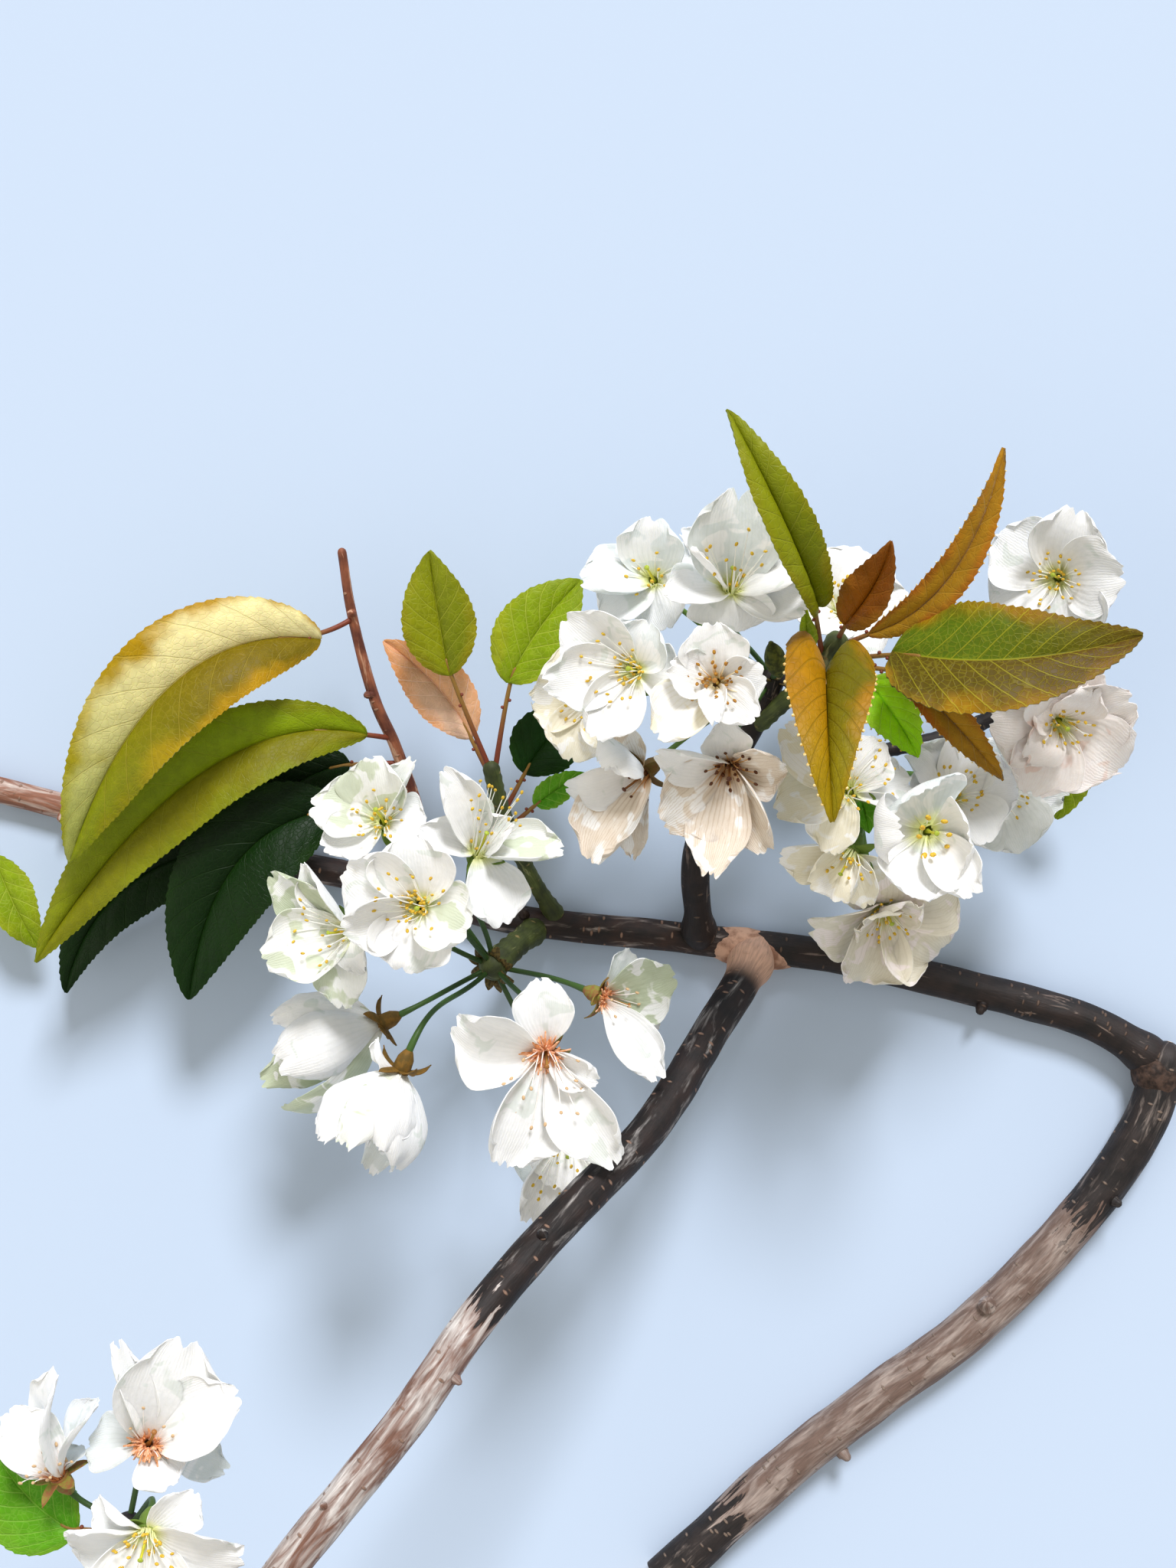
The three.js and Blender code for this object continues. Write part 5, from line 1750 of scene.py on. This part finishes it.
@dataclass(frozen=True)
class Leaf:
    """A leaf: a folded, toothed and veined blade on a petiole with two glands."""

    name: str
    slot: str
    path: tuple[Point, Point, Point, Point]  # petiole's start, blade's start, middle and tip
    width: float
    fold: float  # degrees that each half stands up
    look: LeafLook
    face: Point = (0, 0, 1)  # the way its upturned side looks
    sunk: bool = True  # whether the upper side of the leaf is up
    wave: float = 1.0  # millimetres that its margins rise and fall
    teeth: float = 0.55
    beads: float = 0.0  # radius of the glands at the teeth's tips
    pairs: int = 9
    drawn: float = 0.45
    fuzz: float = 0.0
    # how light the blade is, partly painted light that lifts a leaf lying in shade
    tone_and_painted_light: float = 1.0
    lobes: float = 0.0  # how broad and heart-shaped its base is
    shoulder: float = 0.8  # the lower, the nearer to its base it is widest
    is_extra: bool = False  # a small leaf with no solid of its own

    @cached_property
    def spine(self) -> Course:
        """The line of the midrib."""
        _, base, middle, tip = (Vector(point) for point in self.path)
        return Course.arched(base, middle * 2 - (base + tip) / 2, tip)

    def half(self, along: float) -> float:
        """Measures half the blade's breadth, without its teeth.

        Args:
            along: how far along it, from 0 to 1.

        Returns:
            The half breadth in millimetres.
        """
        drawn_out = 1 - 0.35 * ease(along, 0.8, 1) * (1 - along)
        oval = LEAF_TIP + (1 - LEAF_TIP) * math.sin(math.pi * along**self.shoulder) ** 0.85
        rounded = self.lobes * (1 - ease(along, 0, LOBE_END))
        return self.width / 2 * (oval + rounded * (1 - oval)) * drawn_out

    def spot(self, across: float, along: float) -> Vector:
        """Finds where a point of the blade lies, with its teeth, waves, veins and lobes.

        Args:
            across: how far across it, from -1 to 1.
            along: how far along it, from 0 to 1.

        Returns:
            The place in millimetres.
        """
        seed = own_seed(self.name)
        heading = self.spine.heading(along)
        side = heading.cross(Vector(self.face)).normalized()
        upper = side.cross(heading)
        off = abs(across)
        half = self.half(along)
        tooth = (along * self.spine.length / TOOTH_SPACING + (0.4 if across > 0 else 0)) % 1
        cut = self.teeth * tooth * ease(off, 0.75, 1) * min(1, half / 3)
        angle = math.radians(self.fold * (1.35 - 0.75 * off))
        wave = self.wave * off**2 * ripple(along * 5 + (9 if across > 0 else 0), off, seed)
        lean = off * self.pairs * self.width * VEIN_SLANT / self.spine.length
        phase = along * self.pairs - lean + (0.5 if across < 0 else 0)
        pillow = abs(math.sin(math.pi * phase)) * off * (1 - off) * min(1, half / 6)
        quilt = pillow * (QUILTING if self.sunk else -QUILTING)
        groove = -MIDRIB_DEPTH * math.exp(-((off * half / 0.7) ** 2))
        twist = math.radians(TWIST * ripple(along * 1.5, 0, seed + 5)) * across
        reach = off * half + cut
        raised = reach * math.sin(angle) + wave + quilt + groove + reach * math.sin(twist)
        swell = self.lobes * half * 0.5 * math.sin(math.pi * off**1.6) * (1 - ease(along, 0, LOBE_END))
        back = (self.spine.at(1) - self.spine.at(0)).normalized() * swell
        return (
            self.spine.at(along) - back
            + side * math.copysign(reach * math.cos(angle), across)
            + upper * raised
        )

    def build(self) -> None:
        """Makes the leaf's piece, which stands for its solid."""
        form = new_form()
        rows = round(self.spine.length / LEAF_ROW_SPACING)
        add_sheet(
            form, lambda across, along: self.spot(-across, along), LEAF_COLUMNS, rows, LEAF_THICKNESS, 0, 1
        )
        start, base = Vector(self.path[0]), Vector(self.path[1])
        petiole = Course.arched(start, base, self.spine.at(PETIOLE_SINK))
        rings = max(8, round(petiole.length))
        add_tube(
            form, petiole, lambda _turn, along: PETIOLE_RADIUS * (1 - 0.3 * along), 10, rings, finish=2
        )
        for share, side in GLANDS:
            first, second = petiole.across(share, UP)
            place = petiole.at(share) + second * side * 0.8 + first * 0.3
            add_ball(form, place, (GLAND_RADIUS,) * 3, UP, 2)
        if self.beads:
            self.add_beads(form)
        right, left, flush, tip, vein, under = self.look.value
        size = (self.width, self.spine.length)
        finishes = [
            LeafFinish(
                f"leaf_{self.name}", (right, left), flush, tip, vein, size, self.pairs, self.sunk,
                self.drawn, self.fuzz, self.tone_and_painted_light,
            ).material(),
            LeafFinish(
                f"leaf_under_{self.name}", (under, under), right, under, vein, size, self.pairs,
                not self.sunk, 0.4, self.fuzz,
            ).material(),
            ThreadFinish("petiole_red_green", "7c3a24", "8f6a2c", petiole.length).material(),
            GrainFinish("gland_beads", "fff0b4", "dca844", 0.5).material(),
        ]
        solid = None if self.is_extra else self.name
        finish_piece(self.name + "_blade", form, finishes, self.slot, solid, crease=60)

    def add_beads(self, form: bmesh.types.BMesh) -> None:
        """Adds the glassy gland at the tip of each tooth.

        Args:
            form: the mesh they are added to.
        """
        teeth = int(self.spine.length / TOOTH_SPACING)
        for side in (-1, 1):
            for index in range(2, teeth - 1):
                along = (index + 0.92 - (0.4 if side > 0 else 0)) * TOOTH_SPACING / self.spine.length
                add_ball(form, self.spot(side, along), (self.beads,) * 3, UP, 3)


LEAVES = (
    Leaf("top_leaf_1", "olive_leaf", ((62, 33, 64), (57, 45, 90), (47, 62, 112), (33, 89, 115)),
         14, 50, LeafLook.OLIVE, (0.3, 0, 1), lobes=0.4, drawn=0.25),
    Leaf("top_leaf_2", "bronze_leaf", ((65, 37, 69), (66, 41, 79), (72, 50, 90), (75, 60, 97)),
         13, 34, LeafLook.BRONZE, (-0.4, 0, 1), pairs=7, drawn=0.2, tone_and_painted_light=1.2),
    Leaf("top_leaf_3", "bronze_leaf", ((63, 35, 66), (73, 39, 73), (92, 53, 85), (103, 83, 97)),
         11, 50, LeafLook.BROWN_GOLD, wave=2.0, fuzz=0.25, drawn=0.25, beads=0.24, tone_and_painted_light=1.3),
    Leaf("top_leaf_4", "olive_leaf", ((62, 32, 63), (78, 34, 80), (105, 31, 94), (138, 37, 94)),
         29, 14, LeafLook.UNDERSIDE, (0, 0.25, 1), sunk=False, wave=1.6, drawn=0.42, pairs=10, teeth=0.7,
         shoulder=0.6),
    Leaf("top_leaf_5", "amber_leaf", ((61, 31, 62), (60, 28.2, 87), (58.5, 11, 103.5), (59, -9, 108)),
         25, 46, LeafLook.AMBER, beads=0.48, teeth=0.4, drawn=0.35, lobes=0.95, shoulder=0.4),
    Leaf("top_leaf_6", "green_leaf", ((57, 26, 55), (74, 27, 64), (80.5, 17.5, 69), (86.5, 7, 69)),
         14.5, 20, LeafLook.SUNLIT_LIME, teeth=0.8, pairs=7, drawn=0.2, beads=0.28, tone_and_painted_light=1.35, shoulder=0.6),
    Leaf("top_leaf_7", "bronze_leaf", ((61, 31, 62), (80, 31, 73), (93, 17, 77), (108, 1, 73)),
         10, 40, LeafLook.BROWN_GOLD, wave=1.5, fuzz=0.3, drawn=0.25, beads=0.26, tone_and_painted_light=1.3),
    Leaf("left_leaf_1", "yellow_leaf", ((-66, 46, 37), (-74, 40, 42), (-111, 27, 58), (-141, -21, 50)),
         31, 30, LeafLook.YELLOW_HIGHLIT, wave=1.8, drawn=0.2, tone_and_painted_light=1.4),
    Leaf("left_leaf_2", "olive_leaf", ((-56, 13, 27), (-62, 14, 34), (-107, 3, 42), (-155, -50, 34)),
         25, 26, LeafLook.OLIVE_GREEN, wave=1.6, drawn=0.2),
    Leaf("left_leaf_3", "dark_leaf", ((-52, 2, 22), (-70, -7, 30), (-98, -22, 36), (-113, -61, 29)),
         30, 18, LeafLook.DARK, drawn=0.15),
    Leaf("left_leaf_4", "dark_leaf", ((-50, -5, 18), (-97, -17, 16), (-134, -30, 16), (-153, -61, 11)),
         20, 16, LeafLook.DARK, drawn=0.15),
    Leaf("left_leaf_5", "dark_leaf", ((-53, 6, 24), (-68, 6, 24), (-88, -3, 24), (-105, -22, 23)),
         22, 12, LeafLook.DARK, drawn=0.15),
    Leaf("middle_leaf_1", "olive_leaf", ((-27, 3, 35), (-38, 30, 46), (-41, 47, 50), (-43, 63, 53)),
         20, 20, LeafLook.OLIVE, pairs=7),
    Leaf("middle_leaf_2", "green_leaf", ((-26, 4, 35), (-22, 28, 44), (-13, 43, 46), (-2, 56, 45)),
         22, 16, LeafLook.SPRING, pairs=7),
    Leaf("middle_leaf_3", "pink_leaf", ((-26, -1, 31), (-33, 13, 33), (-42, 27, 35), (-57, 40, 36)),
         17, 20, LeafLook.PINKISH, pairs=7, tone_and_painted_light=1.25),
    Leaf("middle_leaf_4", "dark_leaf", ((-24, -8, 25), (-18, 3, 26), (-11, 13, 27), (-1, 20, 26)),
         19, 12, LeafLook.DARK, pairs=7, drawn=0.15, tone_and_painted_light=1.9),
    Leaf("middle_leaf_5", "green_leaf", ((-22, -12, 22), (-15, -6, 29), (-8, -1, 32), (-1, 3, 32)),
         8, 16, LeafLook.MEADOW, pairs=5),
    Leaf("low_leaf", "green_leaf", ((-114, -185, 96), (-128, -187, 92), (-140, -178, 92), (-150, -164, 92)),
         26, 14, LeafLook.MEADOW, pairs=7),
    Leaf("far_leaf", "green_leaf", ((132, 27, 34), (137, 14, 28), (138, 3, 24), (136, -10, 16)),
         12, 14, LeafLook.SPRING, pairs=6),
    Leaf("end_leaf", "yellow_leaf", ((-178, -1, 4), (-173, -21, 14), (-166, -36, 16), (-160, -48, 13)),
         14, 14, LeafLook.SPRING, pairs=6),
    Leaf("tip_stipule", "green_leaf", ((62, 31.5, 65), (58, 35, 72), (56, 39, 80), (55, 44.5, 86)),
         5, 30, LeafLook.SPRING, wave=0.4, pairs=3, teeth=0.3, is_extra=True),
    Leaf("spur_bract", "green_leaf", ((72, 2, 49), (72.3, -1, 55), (73.4, -6, 60), (74.6, -13, 62)),
         9, 24, LeafLook.MEADOW, wave=0.6, pairs=4, is_extra=True),
)


# Studio


@dataclass(frozen=True)
class SoftLamp:
    """A broad, far-off studio lamp, which lights the floor evenly."""

    name: str
    place: Point  # the way to it from the branch
    breadth: float  # degrees of sky that it fills
    strength: float  # watts on each square metre
    colour: str

    def build(self) -> None:
        """Hangs the lamp."""
        lamp = bpy.data.lights.new(self.name, "SUN")
        lamp.angle = math.radians(self.breadth)
        lamp.energy = self.strength
        lamp.color = linear(self.colour)[:3]
        holder = bpy.data.objects.new(self.name, lamp)
        holder.location = self.place
        holder.rotation_euler = Vector(self.place).to_track_quat("Z", "Y").to_euler()
        bpy.context.scene.collection.objects.link(holder)


@dataclass(frozen=True)
class Studio:
    """The camera over the branch, the pale floor and the lamps."""

    eye: Point = (0.0054, 0.0753, 0.56392)  # looking straight down
    lens: float = 43.36
    film: float = 36.0
    floor: float = 60.0  # metres across
    floor_colour: str = "bfd0e6"
    air_colour: str = "c2bfb8"  # of the soft light from all round
    horizon_colour: str = "dbe9fb"  # past the floor, as the camera sees it
    lamps: tuple[SoftLamp, ...] = (
        SoftLamp("key_lamp", (0.5, 2.35, 2.2), 16, 3.1, "fbfbff"),
        SoftLamp("fill_lamp", (-0.9, -0.3, 0.7), 50, 0.62, "fff6ea"),
    )

    def build(self) -> None:
        """Sets up the camera, the floor and the light."""
        scene = bpy.context.scene
        camera = bpy.data.cameras.new("camera")
        camera.sensor_fit = "VERTICAL"
        camera.sensor_height = self.film
        camera.lens = self.lens
        camera.clip_start = 0.01
        holder = bpy.data.objects.new("camera", camera)
        holder.location = self.eye
        scene.collection.objects.link(holder)
        scene.camera = holder
        self.build_floor()
        for lamp in self.lamps:
            lamp.build()
        world = bpy.data.worlds.new("studio")
        world.use_nodes = True
        tree = world.node_tree
        sky = tree.nodes["Background"]
        seen = add_node(tree, "LightPath").outputs["Is Camera Ray"]
        hues = {0: seen, 6: linear(self.air_colour), 7: linear(self.horizon_colour)}
        hue = add_node(tree, "Mix", hues, **COLOURS).outputs[2]
        tree.links.new(hue, sky.inputs[0])
        scene.world = world
        scene.view_settings.view_transform = "Standard"

    def build_floor(self) -> None:
        """Lays the plain floor under the branch."""
        form = bmesh.new()
        bmesh.ops.create_grid(form, x_segments=1, y_segments=1, size=self.floor / 2)
        mesh = bpy.data.meshes.new("floor")
        form.to_mesh(mesh)
        form.free()
        material, tree, out = new_material("floor_matt_paint")
        paint = add_node(
            tree, "BsdfPrincipled", {"Base Color": linear(self.floor_colour), "Roughness": 0.9}
        )
        tree.links.new(paint.outputs[0], out.inputs[0])
        mesh.materials.append(material)
        floor = bpy.data.objects.new("floor", mesh)
        bpy.context.scene.collection.objects.link(floor)


def main() -> None:
    """Builds the branch on its frame, piece by piece."""
    logging.basicConfig(level=logging.INFO, format="%(message)s")
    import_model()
    Studio().build()
    for part in (*LIMBS, *BURLS, *BLOOMS, *BUDS, *LEAVES):
        part.build()
        log.info("%s %s", type(part).__name__.lower(), part.name)


if __name__ == "__main__":
    main()
